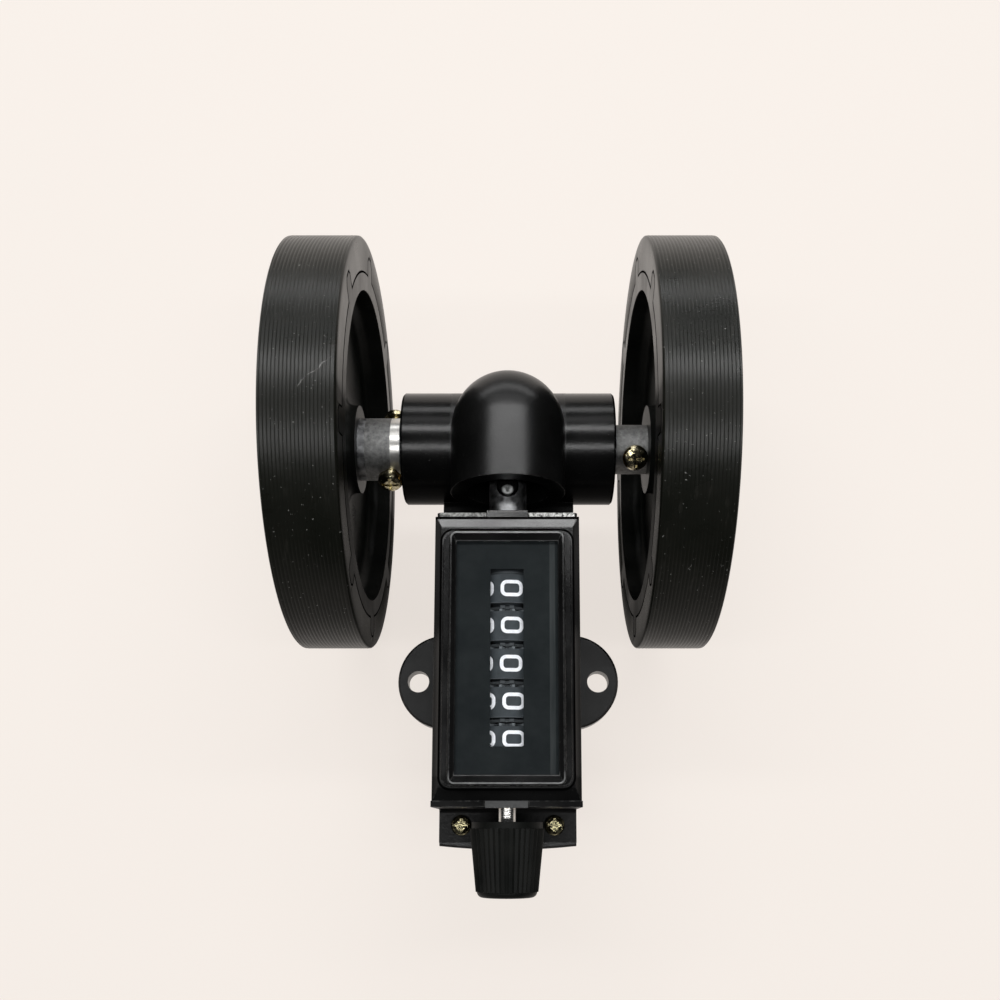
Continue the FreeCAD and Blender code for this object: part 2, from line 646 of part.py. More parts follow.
def make_housing():
    """The casting: base with two ears, axle tube and gear dome."""
    housing = Piece("gear_housing")
    side = "(base_width / 2)"
    tail = f"({FOOT_END} - foot_margin)"
    housing.pad("z", [outline(
        [(f"-{side}", tail), (side, tail), (side, "axle_up"), (f"-{side}", "axle_up")],
        {0: ("0", f"{tail} - tail_bulge")},
    )], "0", BASE_FRONT)
    ear = "(flange_span / 2 - ear_radius)"
    for sign in ("-", ""):
        housing.pad("z", [disc(sign + ear, "0", "ear_radius")], "0", BASE_FRONT)
    front = value(BASE_FRONT)
    housing.chamfer(
        lambda edge: isinstance(edge.Curve, Part.Circle) and abs(edge.CenterOfMass.z - front) < 1e-3,
        "edge_break")
    housing.pad("x", [disc("axle_up", "axle_level", "tube_radius")], f"-{TUBE_END}", TUBE_END)
    housing.pad("y", [disc("0", "counter_level", "dome_radius")], "axle_up - dome_drop", "axle_up")
    cap = housing.feature("AdditiveSphere", "cap")
    cap.AttachmentSupport = [(housing.origin("XY_Plane"), "")]
    cap.MapMode = "FlatFace"
    cap.setExpression("AttachmentOffset.Base.y", bound("axle_up"))
    cap.setExpression("AttachmentOffset.Base.z", bound("counter_level"))
    cap.setExpression("Radius", bound("dome_radius"))
    tube_end = value(TUBE_END)
    housing.chamfer(
        lambda edge: abs(abs(edge.CenterOfMass.x) - tube_end) < 1e-3
        and getattr(edge.Curve, "Radius", 0) > value("tube_radius") - 1e-3,
        "edge_break")
    housing.pocket("x", [disc("axle_up", "axle_level", "tube_bore")], f"-{TUBE_END}", TUBE_END)
    housing.pocket(
        "y", [disc("0", "counter_level", "dome_bore")], "axle_up - dome_drop", "axle_up + dome_head")
    for sign in ("-", ""):
        holes = (
            ("hole_spacing / 2", "0", "hole_radius", "0"),
            ("foot_screw_spacing / 2", f"{LOWER_PLATE_OUTER} - foot_screw_drop",
             "small_screw_radius + seat", f"{BASE_FRONT} - small_screw_length"),
            ("frame_screw_spacing / 2", "case_top - frame_screw_drop",
             "small_screw_radius + seat", f"{BASE_FRONT} - small_screw_length"),
        )
        for across, up, radius, low in holes:
            housing.pocket("z", [disc(f"{sign}{across}", up, radius)], low, BASE_FRONT)


def make_gearbox():
    """Bushes, skew gears and the shaft that leaves the dome."""
    for side, low, high in (
            ("left", f"-{TUBE_END}", f"-{TUBE_END} + tube_bush_width"),
            ("right", f"{TUBE_END} - tube_bush_width", TUBE_END)):
        ring_piece(
            "axle_bush_" + side, "x", low, high, "axle_radius + running", "tube_bore - seat",
            "0", "axle_up", "axle_level")
    skew_gear("axle_gear", "x", "axle_teeth", "axle_helix", "axle_gear_width",
              "axle_radius + seat", 0, -1)
    skew_gear("output_gear", "y", "shaft_teeth", "90 - axle_helix", "output_gear_width",
              "shaft_radius + seat", 180 + 180 / value("shaft_teeth"), -1)
    ring_piece(
        "output_bearing", "y", "-bearing_drop - bearing_width", "-bearing_drop",
        "shaft_radius + running", "dome_bore - seat", "0", "axle_up", "counter_level")
    gear_top = "output_gear_width / 2"
    shaft = Piece("output_shaft", "0", "axle_up", "counter_level")
    shaft.turn("y", [
        ("0", "-coupling_drop + end_play"), ("shaft_radius", "-coupling_drop + end_play"),
        ("shaft_radius", gear_top), ("shoulder_radius", gear_top),
        ("shoulder_radius", f"{gear_top} + shaft_head"), ("0", f"{gear_top} + shaft_head"),
    ])
    ring_piece(
        "output_spacer", "y", "-bearing_drop + end_play", f"-({gear_top})",
        "shaft_radius + seat", "shoulder_radius", "0", "axle_up", "counter_level")


def make_coupling():
    """The sleeve that joins the two shafts, with one screw into each."""
    sleeve = ring_piece(
        "coupling_sleeve", "y", "-coupling_length / 2", "coupling_length / 2",
        "shaft_radius + seat", "coupling_radius", "0", COUPLING_MIDDLE, "counter_level")
    upper = "(coupling_length / 2 - coupling_screw_inset)"
    hole = "coupling_screw_radius + seat"
    sleeve.pocket("z", [disc("0", upper, hole)], "0", "coupling_radius")
    sleeve.pocket("z", [disc("0", f"-{upper}", hole)], "-coupling_radius", "0")
    screws = pan_screw(
        "coupling_screws", "coupling_screw_radius", "coupling_head_radius",
        "coupling_head_height", "coupling_radius", "shaft_radius + seat",
        "0", COUPLING_MIDDLE, "counter_level", upper)
    screws.half_turn("x")


def make_input_shaft():
    """The shaft through the upper end plate that turns the first drum."""
    ring_piece(
        "input_bush", "y", "case_top - input_bush_reach", "case_top + frame_sheet",
        "shaft_radius + running", "shoulder_radius - seat", "0", "0", "counter_level")
    shaft = Piece("input_shaft", "0", "0", "counter_level")
    shoulder_top = "(case_top - input_bush_reach - end_play)"
    shoulder_low = f"({shoulder_top} - shoulder_width)"
    floor = f"({drum_place(0)} + drum_rim / 2 + boss_floor)"
    shaft.turn("y", [
        ("0", floor), ("shaft_radius", floor),
        ("shaft_radius", shoulder_low), ("shoulder_radius", shoulder_low),
        ("shoulder_radius", shoulder_top), ("shaft_radius", shoulder_top),
        ("shaft_radius", f"{COUPLING_MIDDLE} - end_play"), ("0", f"{COUPLING_MIDDLE} - end_play"),
    ])


def drum_place(number):
    """Where a drum stands on the counter axis: the first one counts the units."""
    return f"(drum_middle + drum_pitch * ((drum_count - 1) / 2 - {number}))"


def spur_tooth(pitch_radius, teeth, degrees):
    """A sketch loop for one straight sided spur tooth, square to the Y axis."""
    half = f"(pi * {pitch_radius} / {teeth} / 2 - spur_slack)"
    slope = "tan(pressure_angle * 1 deg)"
    points = []
    for step, sign in (("-spur_foot", "-"), ("spur_top", "-"), ("spur_top", ""), ("-spur_foot", "")):
        radius = f"({pitch_radius} + ({step}) * gear_module)"
        reach = f"({sign}({half} - ({step}) * gear_module * {slope}))"
        across = f"({radius} * sin({degrees} * 1 deg) + {reach} * cos({degrees} * 1 deg))"
        up = f"({radius} * cos({degrees} * 1 deg) - {reach} * sin({degrees} * 1 deg))"
        points.append((across, up))
    return outline(points)


def make_drum(number, last):
    """A number drum: rim, web and hub, with its gear above and carry teeth below."""
    drum = Piece(f"number_drum_{number + 1}", "0", drum_place(number), "counter_level")
    rim = "(drum_rim / 2)"
    inside = "drum_radius - drum_wall"
    bore = "reset_radius + running"
    hub_end = "(drum_pitch / 2 - end_play / 2)"
    hub_top = f"({rim} + boss_floor)" if number == 0 else hub_end
    web_low = f"{rim} - drum_web"
    drum.turn("y", [
        (bore, f"-{hub_end}"), ("drum_hub", f"-{hub_end}"), ("drum_hub", web_low),
        (inside, web_low), (inside, f"-{rim}"), ("drum_radius", f"-{rim}"), ("drum_radius", rim),
        ("drum_hub", rim), ("drum_hub", hub_top), (bore, hub_top),
    ])
    if number == 0:
        drum.pad("y", [disc("0", "0", "drum_hub + drum_wall"), disc("0", "0", "shaft_radius + seat")],
                 rim, f"{rim} + drive_boss")
    else:
        pitch_radius = "(gear_module * drum_teeth / 2)"
        root = f"({pitch_radius} - drum_gear_root * gear_module)"
        drum.pad("y", [disc("0", "0", root), disc("0", "0", "drum_hub - joint_bite")],
                 rim, f"{rim} + drum_gear_width")
        one = drum.pad("y", [spur_tooth(pitch_radius, "drum_teeth", "pinion_turn")],
                       rim, f"{rim} + drum_gear_width")
        drum.ring([one], "y", "drum_teeth")
    if not last:
        low = f"-{rim} - carry_width"
        middle = "(carry_radius - carry_height)"
        drum.pad("y", [disc("0", "0", middle), disc("0", "0", "drum_hub - joint_bite")],
                 low, f"-{rim}")
        for sign in ("-", ""):
            drum.pad("y", [rectangle("carry_tooth", "carry_height * 2", f"{sign}carry_tooth", middle)],
                     low, f"-{rim}")


def make_pinions():
    """The pinion shaft, held in both end plates, and one pinion between each two drums."""
    shaft = Piece("pinion_shaft", PINION_X, "0", f"counter_level + {PINION_Z}")
    shaft.turn("y", [
        ("0", LOWER_PLATE_OUTER), ("pinion_shaft_radius", LOWER_PLATE_OUTER),
        ("pinion_shaft_radius", "case_top + frame_sheet"), ("0", "case_top + frame_sheet"),
    ])
    pitch_radius = "(gear_module * pinion_teeth / 2)"
    half = "pinion_width / 2"
    for number in range(int(value("drum_count")) - 1):
        pinion = Piece(
            f"transfer_pinion_{number + 1}", PINION_X, f"{drum_place(number)} - drum_pitch / 2",
            f"counter_level + {PINION_Z}")
        bore = "pinion_shaft_radius + running"
        root = f"({pitch_radius} - pinion_root * gear_module)"
        pinion.turn("y", [(bore, f"-({half})"), (bore, half), (root, half), (root, f"-({half})")])
        one = pinion.pad(
            "y", [spur_tooth(pitch_radius, "pinion_teeth", "(pinion_turn - 180 + 180 / pinion_teeth)")],
            f"-({half})", half)
        pinion.ring([one], "y", "pinion_teeth")


def make_frame():
    """The two bent sheets that carry the counter, and their bushes and screws."""
    half = "(case_width / 2 - cover_wall - frame_gap)"
    frame = Piece("counter_frame")
    frame.pad("z", [outline([
        (f"-{half}", f"{CASE_BOTTOM} + frame_gap"), (half, f"{CASE_BOTTOM} + frame_gap"),
        (half, "case_top"), (f"-{half}", "case_top"),
    ])], BASE_FRONT, f"{BASE_FRONT} + frame_sheet")
    plate = "(top_plate_width / 2)"
    notch = "(tongue_width / 2 + tongue_gap)"
    notch_floor = f"({TONGUE_TOP} - cover_wall - end_play)"
    frame.pad("y", [outline([
        (f"-{plate}", BASE_FRONT), (plate, BASE_FRONT), (plate, f"{PLATE_FRONT} - plate_corner"),
        (f"{plate} - plate_corner", PLATE_FRONT), (notch, PLATE_FRONT), (notch, notch_floor),
        (f"-{notch}", notch_floor), (f"-{notch}", PLATE_FRONT),
        (f"plate_corner - {plate}", PLATE_FRONT), (f"-{plate}", f"{PLATE_FRONT} - plate_corner"),
    ])], "case_top", "case_top + frame_sheet")
    frame.pocket("y", [disc("0", "counter_level", "shoulder_radius")],
                 "case_top", "case_top + frame_sheet")
    frame.pocket("y", [disc(PINION_X, f"counter_level + {PINION_Z}", "pinion_shaft_radius + seat")],
                 "case_top", "case_top + frame_sheet")
    for sign in ("-", ""):
        frame.pocket("z", [disc(
            f"{sign}frame_screw_spacing / 2", "case_top - frame_screw_drop",
            "small_screw_radius + seat")], BASE_FRONT, f"{BASE_FRONT} + frame_sheet")

    lower = Piece("lower_end_plate")
    wide = "(bottom_plate_width / 2)"
    lower.pad("y", [outline([
        (f"-{wide}", BASE_FRONT), (wide, BASE_FRONT), (wide, PLATE_FRONT), (notch, PLATE_FRONT),
        (notch, notch_floor), (f"-{notch}", notch_floor), (f"-{notch}", PLATE_FRONT),
        (f"-{wide}", PLATE_FRONT),
    ])], LOWER_PLATE_OUTER, CASE_BOTTOM)
    lower.pad("z", [outline([
        ("-base_width / 2", FOOT_END), ("base_width / 2", FOOT_END),
        ("base_width / 2", LOWER_PLATE_OUTER), ("-base_width / 2", LOWER_PLATE_OUTER),
    ])], BASE_FRONT, f"{BASE_FRONT} + frame_sheet")
    outer = value(LOWER_PLATE_OUTER)
    top = value(f"{BASE_FRONT} + frame_sheet")
    lower.fillet(
        lambda edge: along(edge, AXIS_X) and abs(edge.CenterOfMass.y - outer) < 1e-3
        and abs(edge.CenterOfMass.z - top) < 1e-3, "bend_round")
    lower.pocket("y", [disc("0", "counter_level", "reset_bush_radius")],
                 LOWER_PLATE_OUTER, CASE_BOTTOM)
    lower.pocket("y", [disc(PINION_X, f"counter_level + {PINION_Z}", "pinion_shaft_radius + seat")],
                 LOWER_PLATE_OUTER, CASE_BOTTOM)
    for sign in ("-", ""):
        lower.pocket("z", [disc(
            f"{sign}foot_screw_spacing / 2", f"{LOWER_PLATE_OUTER} - foot_screw_drop",
            "small_screw_radius + seat")], BASE_FRONT, f"{BASE_FRONT} + frame_sheet")

    ring_piece("reset_bush", "y", LOWER_PLATE_OUTER, f"{CASE_BOTTOM} + reset_bush_reach",
               "reset_radius + running", "reset_bush_radius - seat", "0", "0", "counter_level")
    screw_tip = f"{BASE_FRONT} - small_screw_length + end_play"
    under_head = f"{BASE_FRONT} + frame_sheet"
    for label, spacing, up in (
            ("foot_screws", "foot_screw_spacing", f"{LOWER_PLATE_OUTER} - foot_screw_drop"),
            ("frame_screws", "frame_screw_spacing", "case_top - frame_screw_drop")):
        screws = pan_screw(label, "small_screw_radius", "small_head_radius", "small_head_height",
                           under_head, screw_tip, f"-{spacing} / 2", up)
        screws.pair("x", spacing)


def make_cover():
    """The pressed cover with sloped shoulders and the tongues that hold it."""
    cover = Piece("case_cover")
    middle = f"((case_top + {CASE_BOTTOM}) / 2)"
    cover.pad("x", [outline([
        (CASE_BOTTOM, BASE_FRONT), ("case_top", BASE_FRONT), ("case_top", TONGUE_TOP),
        ("case_top - shoulder_end", CASE_FRONT), (f"{CASE_BOTTOM} + shoulder_end", CASE_FRONT),
        (CASE_BOTTOM, TONGUE_TOP),
    ])], "-case_width / 2", "case_width / 2")
    front = value(CASE_FRONT)
    cover.chamfer(lambda edge: along(edge, AXIS_Y) and abs(edge.CenterOfMass.z - front) < 1e-3,
                  "shoulder_side")
    inside = f"{CASE_FRONT} - cover_wall"
    for width, length, level in (
            ("case_width - 2 * cover_wall", "case_length", f"{inside} - shoulder_drop"),
            ("case_width - 2 * shoulder_side - cover_wall",
             "case_length - 2 * shoulder_end - cover_wall", inside)):
        cover.pocket("z", [rectangle(width, length, "0", middle)], BASE_FRONT, level)
    cover.pocket("z", [rectangle("cover_opening_width", "cover_opening_length", "0", "bezel_centre")],
                 f"{CASE_FRONT} - cover_wall", CASE_FRONT)
    for low, high in (("case_top - cover_wall", "case_top + tongue_reach"),
                      (f"{CASE_BOTTOM} - tongue_reach", f"{CASE_BOTTOM} + cover_wall")):
        cover.pad("z", [rectangle(
            "tongue_width", f"({high}) - ({low})", "0", f"(({high}) + ({low})) / 2")],
            f"{TONGUE_TOP} - cover_wall", TONGUE_TOP)


def make_window():
    """The raised bezel and its ridge, and the lens and dial mask held on the cover."""
    step = f"({CASE_FRONT} + bezel_step)"
    top = f"({CASE_FRONT} + ridge_height)"
    seat_top = f"({CASE_FRONT} + mask_thickness + lens_thickness + seat)"
    bezel = Piece("bezel", "0", "bezel_centre")
    bezel.pad("z", [rectangle(f"{RIDGE_WIDTH} + 2 * ledge_side", f"{RIDGE_LENGTH} + 2 * ledge_end")],
              CASE_FRONT, step)
    bezel.pad("z", [rectangle(RIDGE_WIDTH, RIDGE_LENGTH)], step, top)
    for low, high, corner in ((step, top, "ridge_corner"), (CASE_FRONT, step, "bezel_corner")):
        middle = value(f"({low} + {high}) / 2")
        bezel.fillet(
            lambda edge: along(edge, AXIS_Z) and abs(edge.CenterOfMass.z - middle) < 1e-3, corner)
    ridge_side = value(f"{RIDGE_WIDTH} / 2")
    ridge_end = value(f"{RIDGE_LENGTH} / 2")
    ledge = value(step)
    front = value(top)

    def outside_ridge(edge):
        spot = edge.CenterOfMass
        past = abs(spot.x) > ridge_side + 1e-3 or abs(spot.y) > ridge_end + 1e-3
        return past and abs(spot.z - ledge) < 1e-3

    bezel.fillet(outside_ridge, "bezel_round")
    bezel.fillet(lambda edge: abs(edge.CenterOfMass.z - front) < 1e-3, "bezel_round")
    bezel.slope_in("z", rectangle("glass_width", "glass_length"), f"{top} - lip_drop",
                   rectangle(MOUTH_WIDTH, MOUTH_LENGTH), top)
    bezel.pocket("z", [rectangle("glass_width", "glass_length")], CASE_FRONT, f"{top} - lip_drop")
    held_width = "glass_width + 2 * glass_margin"
    held_length = "glass_length + 2 * glass_margin"
    bezel.pocket("z", [rectangle(f"{held_width} + 2 * seat", f"{held_length} + 2 * seat")],
                 CASE_FRONT, seat_top)
    mask = Piece("dial_mask", "0", "bezel_centre")
    mask_front = f"{CASE_FRONT} + mask_thickness"
    mask.pad("z", [rectangle(held_width, held_length), rectangle("number_width", "number_length")],
             CASE_FRONT, mask_front)
    lens = Piece("window_lens", "0", "bezel_centre")
    lens.pad("z", [rectangle(held_width, held_length)], mask_front, f"{mask_front} + lens_thickness")


def make_reset():
    """The reset shaft, the collar that keeps it in place, and the ribbed knob."""
    shaft_top = f"({drum_place(0)} + drum_rim / 2 + boss_floor - end_play)"
    knob_inside = f"({KNOB_TOP} - knob_length + knob_floor)"
    shaft = Piece("reset_shaft", "0", "0", "counter_level")
    shaft.turn("y", [
        ("0", knob_inside), ("reset_radius", knob_inside),
        ("reset_radius", shaft_top), ("0", shaft_top),
    ])
    bottom_drum = "(drum_middle - drum_pitch * (drum_count - 1) / 2 - drum_pitch / 2)"
    ring_piece("stop_collar", "y", f"{CASE_BOTTOM} + reset_bush_reach + end_play",
               f"{bottom_drum} - end_play", "reset_radius + seat", "stop_collar_radius",
               "0", "0", "counter_level")
    make_knob(knob_inside)


def star(radius, place):
    """The ribbed outline of the knob at one place on its axis."""
    ribs = int(value("knob_ribs"))
    points = []
    for step in range(2 * ribs):
        depth = value("rib_depth") * (step % 2)
        points.append(ring_point("y", 180 * step / ribs, radius - depth, place))
    return Part.makePolygon(points + points[:1])


def make_knob(bore_end):
    """The tapered knob: a collar, a ribbed grip and a rounded end on a blind bore."""
    top = value(KNOB_TOP)
    grip_top = top - value("knob_collar")
    end = top - value("knob_length")
    rounding = value("knob_round")
    grip = Part.makeLoft([
        star(value("knob_radius"), grip_top),
        star(value("knob_end_radius"), end + rounding)], True, True)
    nose_radius = value("knob_end_radius - rib_depth")
    nose = Part.makeCylinder(nose_radius, 2 * rounding, FreeCAD.Vector(0, end, 0), AXIS_Y)
    nose = nose.makeFillet(rounding, [edge for edge in nose.Edges if abs(edge.CenterOfMass.y - end) < 1e-6])
    collar = Part.makeCylinder(
        value("knob_collar_radius"), value("knob_collar"), FreeCAD.Vector(0, grip_top, 0), AXIS_Y)
    bore = Part.makeCylinder(
        value("reset_radius + seat"), top - value(bore_end) + value("end_play"),
        FreeCAD.Vector(0, value(bore_end) - value("end_play"), 0), AXIS_Y)
    knob = doc.addObject("Part::Feature", "reset_knob")
    knob.Label = "reset_knob"
    knob.Shape = grip.fuse(nose).fuse(collar).cut(bore)
    knob.Placement = FreeCAD.Placement(
        FreeCAD.Vector(0, 0, value("counter_level")), FreeCAD.Rotation())


def make_all():
    wheel_half = "wheel_width / 2"
    make_wheel("left", f"{LEFT_INNER_FACE} - {wheel_half}")
    make_wheel("right", f"{RIGHT_INNER_FACE} + {wheel_half}")
    make_axle()
    for side, sign in (("left", "-"), ("right", "")):
        inner, outer = f"{sign}({TUBE_END} + end_play)", f"{sign}{WASHER_OUTER}"
        low, high = (outer, inner) if sign else (inner, outer)
        ring_piece("thrust_washer_" + side, "x", low, high, "axle_radius + seat",
                   f"washer_{side}_radius", "0", "axle_up", "axle_level")
    left_hub = f"({LEFT_INNER_FACE} - hub_recess)"
    right_hub = f"({RIGHT_INNER_FACE} + hub_recess)"
    ring_piece("hub_spacer", "x", left_hub, f"{left_hub} + spacer_width", "axle_radius + seat",
               "sleeve_left_radius", "0", "axle_up", "axle_level")
    make_sleeve("left", "-", "sleeve_left_radius", "screw_left_inset", "screw_left_turn",
                f"{left_hub} + spacer_width")
    make_sleeve("right", "", "sleeve_right_radius", "screw_right_inset", "screw_right_turn", right_hub)
    make_housing()
    make_gearbox()
    make_coupling()
    make_input_shaft()
    drums = int(value("drum_count"))
    for number in range(drums):
        make_drum(number, number == drums - 1)
    make_pinions()
    make_frame()
    make_cover()
    make_window()
    make_reset()


def check_all():
    """Stops before anything is written if a step failed or cut nothing."""
    doc.recompute()
    for item in doc.Objects:
        if "Invalid" in item.State or "Error" in item.State:
            raise RuntimeError(f"{item.Label} failed: {item.State}")
        if item.TypeId == "PartDesign::Pocket":
            before = item.BaseFeature.Shape.Volume
            if before - item.Shape.Volume < 1e-3:
                raise RuntimeError(f"{item.Label} cut nothing")
    for piece in nodes():
        if piece.Shape.isNull() or not piece.Shape.isValid():
            raise RuntimeError(f"{piece.Label} has no valid shape")


def nodes():
    """The sub-parts: every body, and every gear or knob made by code."""
    return [item for item in doc.Objects if item.TypeId in ("PartDesign::Body", "Part::Feature")]


make_all()
check_all()
for piece in nodes():
    piece.Shape.exportStep(f"parts/{piece.Label}.step")
print(len(nodes()), "sub-parts written")
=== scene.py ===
import math

import bpy
from mathutils import Matrix, Vector


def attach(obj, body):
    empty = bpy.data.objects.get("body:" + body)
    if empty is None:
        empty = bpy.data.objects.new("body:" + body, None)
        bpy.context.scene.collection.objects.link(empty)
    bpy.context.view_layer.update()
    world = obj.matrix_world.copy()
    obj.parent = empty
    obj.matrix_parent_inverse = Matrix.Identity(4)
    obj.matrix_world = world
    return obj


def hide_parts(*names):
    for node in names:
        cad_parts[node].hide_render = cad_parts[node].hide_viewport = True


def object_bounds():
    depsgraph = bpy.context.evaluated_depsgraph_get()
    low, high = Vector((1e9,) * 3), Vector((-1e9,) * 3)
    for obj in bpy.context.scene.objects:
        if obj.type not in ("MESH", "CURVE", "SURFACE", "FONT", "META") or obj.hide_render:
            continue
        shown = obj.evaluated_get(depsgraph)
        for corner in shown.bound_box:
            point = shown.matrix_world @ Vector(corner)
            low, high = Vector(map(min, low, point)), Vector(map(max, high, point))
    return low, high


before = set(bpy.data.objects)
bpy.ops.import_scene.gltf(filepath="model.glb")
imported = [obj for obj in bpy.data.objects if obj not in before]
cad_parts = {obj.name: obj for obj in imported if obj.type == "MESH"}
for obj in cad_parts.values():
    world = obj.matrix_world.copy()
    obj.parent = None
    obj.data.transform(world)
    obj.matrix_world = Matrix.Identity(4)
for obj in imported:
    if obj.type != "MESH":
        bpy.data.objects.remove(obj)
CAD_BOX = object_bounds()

MM = 0.001

# Main sizes of the frame, in millimetres and degrees
AXLE_Y = 62.5
AXLE_Z = 5.0
COUNTER_Z = 19.5
WHEEL_RADIUS = 53.05
WHEEL_WIDTH = 17.3
LEFT_WHEEL_X = -45.35
RIGHT_WHEEL_X = 42.55
CORE_EDGE = 44.48
LOBE_TIP = 49.68
LOBE_HALF = 3.08
LOBE_CORNER = 1.5
LOBE_COUNT = 8
LOBE_TURN = 13.0
WHEEL_MIDDLE_X = -1.4
BEZEL_MIDDLE = 2.0
SEAM = 0.45
DRUM_RADIUS = 11.0
DRUM_TOP_Y = 18.6
DRUM_PITCH = 9.0
REST_TURN = 5.7
GAP_PHASE = 30.8

# Sleeve screws, two a side: place along X, lean in degrees and radius of the sleeve
SLEEVE_SCREWS = (("left", -30.75, 68.0, 8.15), ("right", 32.85, 34.0, 6.45))
SHANK_RADIUS = 1.7
THREAD_PITCH = 0.55
THREAD_DEPTH = 0.2
THREAD_START = 0.1
THREAD_END = 1.75

# The printed digits: half width DX and half height DY of a stroke's centre line, stroke
# width, height above the drum, and how far each drum's digits are turned in degrees and
# moved along Y
DX = 1.55
DY = 2.22
STROKE_WIDTH = 0.84
INK_HEIGHT = 0.03
INK_LAYER = 0.004
DIGIT_TURN = (0.0, 0.6, -0.6, 2.6, 2.8)
DIGIT_SHIFT = (-0.05, 0.12, 0.08, 0.25, 0.52)

# Lamps and floor, in metres and degrees; a strip has a name, lean, breadth and power
LAMP_AIM = (0.0, 0.03, 0.0)
LAMP_REACH = 0.95
STRIP_WIDTH = 1.25
STRIPS = (("strip_upper", 23.0, 0.09, 7.0), ("strip_lower", -15.0, 0.09, 5.6),
          ("strip_top", 43.0, 0.2, 1.5))
FLOOR_DROP = 0.0004
FLOOR_REACH = 12.0
FLOOR_GLOW = 0.82

# Camera: place in millimetres, tilt in degrees, and focal length as a share of the sensor
CAMERA_PLACE = (2.951, -37.326, 264.565)
CAMERA_TILT = 9.958
CAMERA_SHIFT = (-0.01968, 0.15)
SENSOR = 36.0
FOCAL_SHARE = 1.02284


# Materials


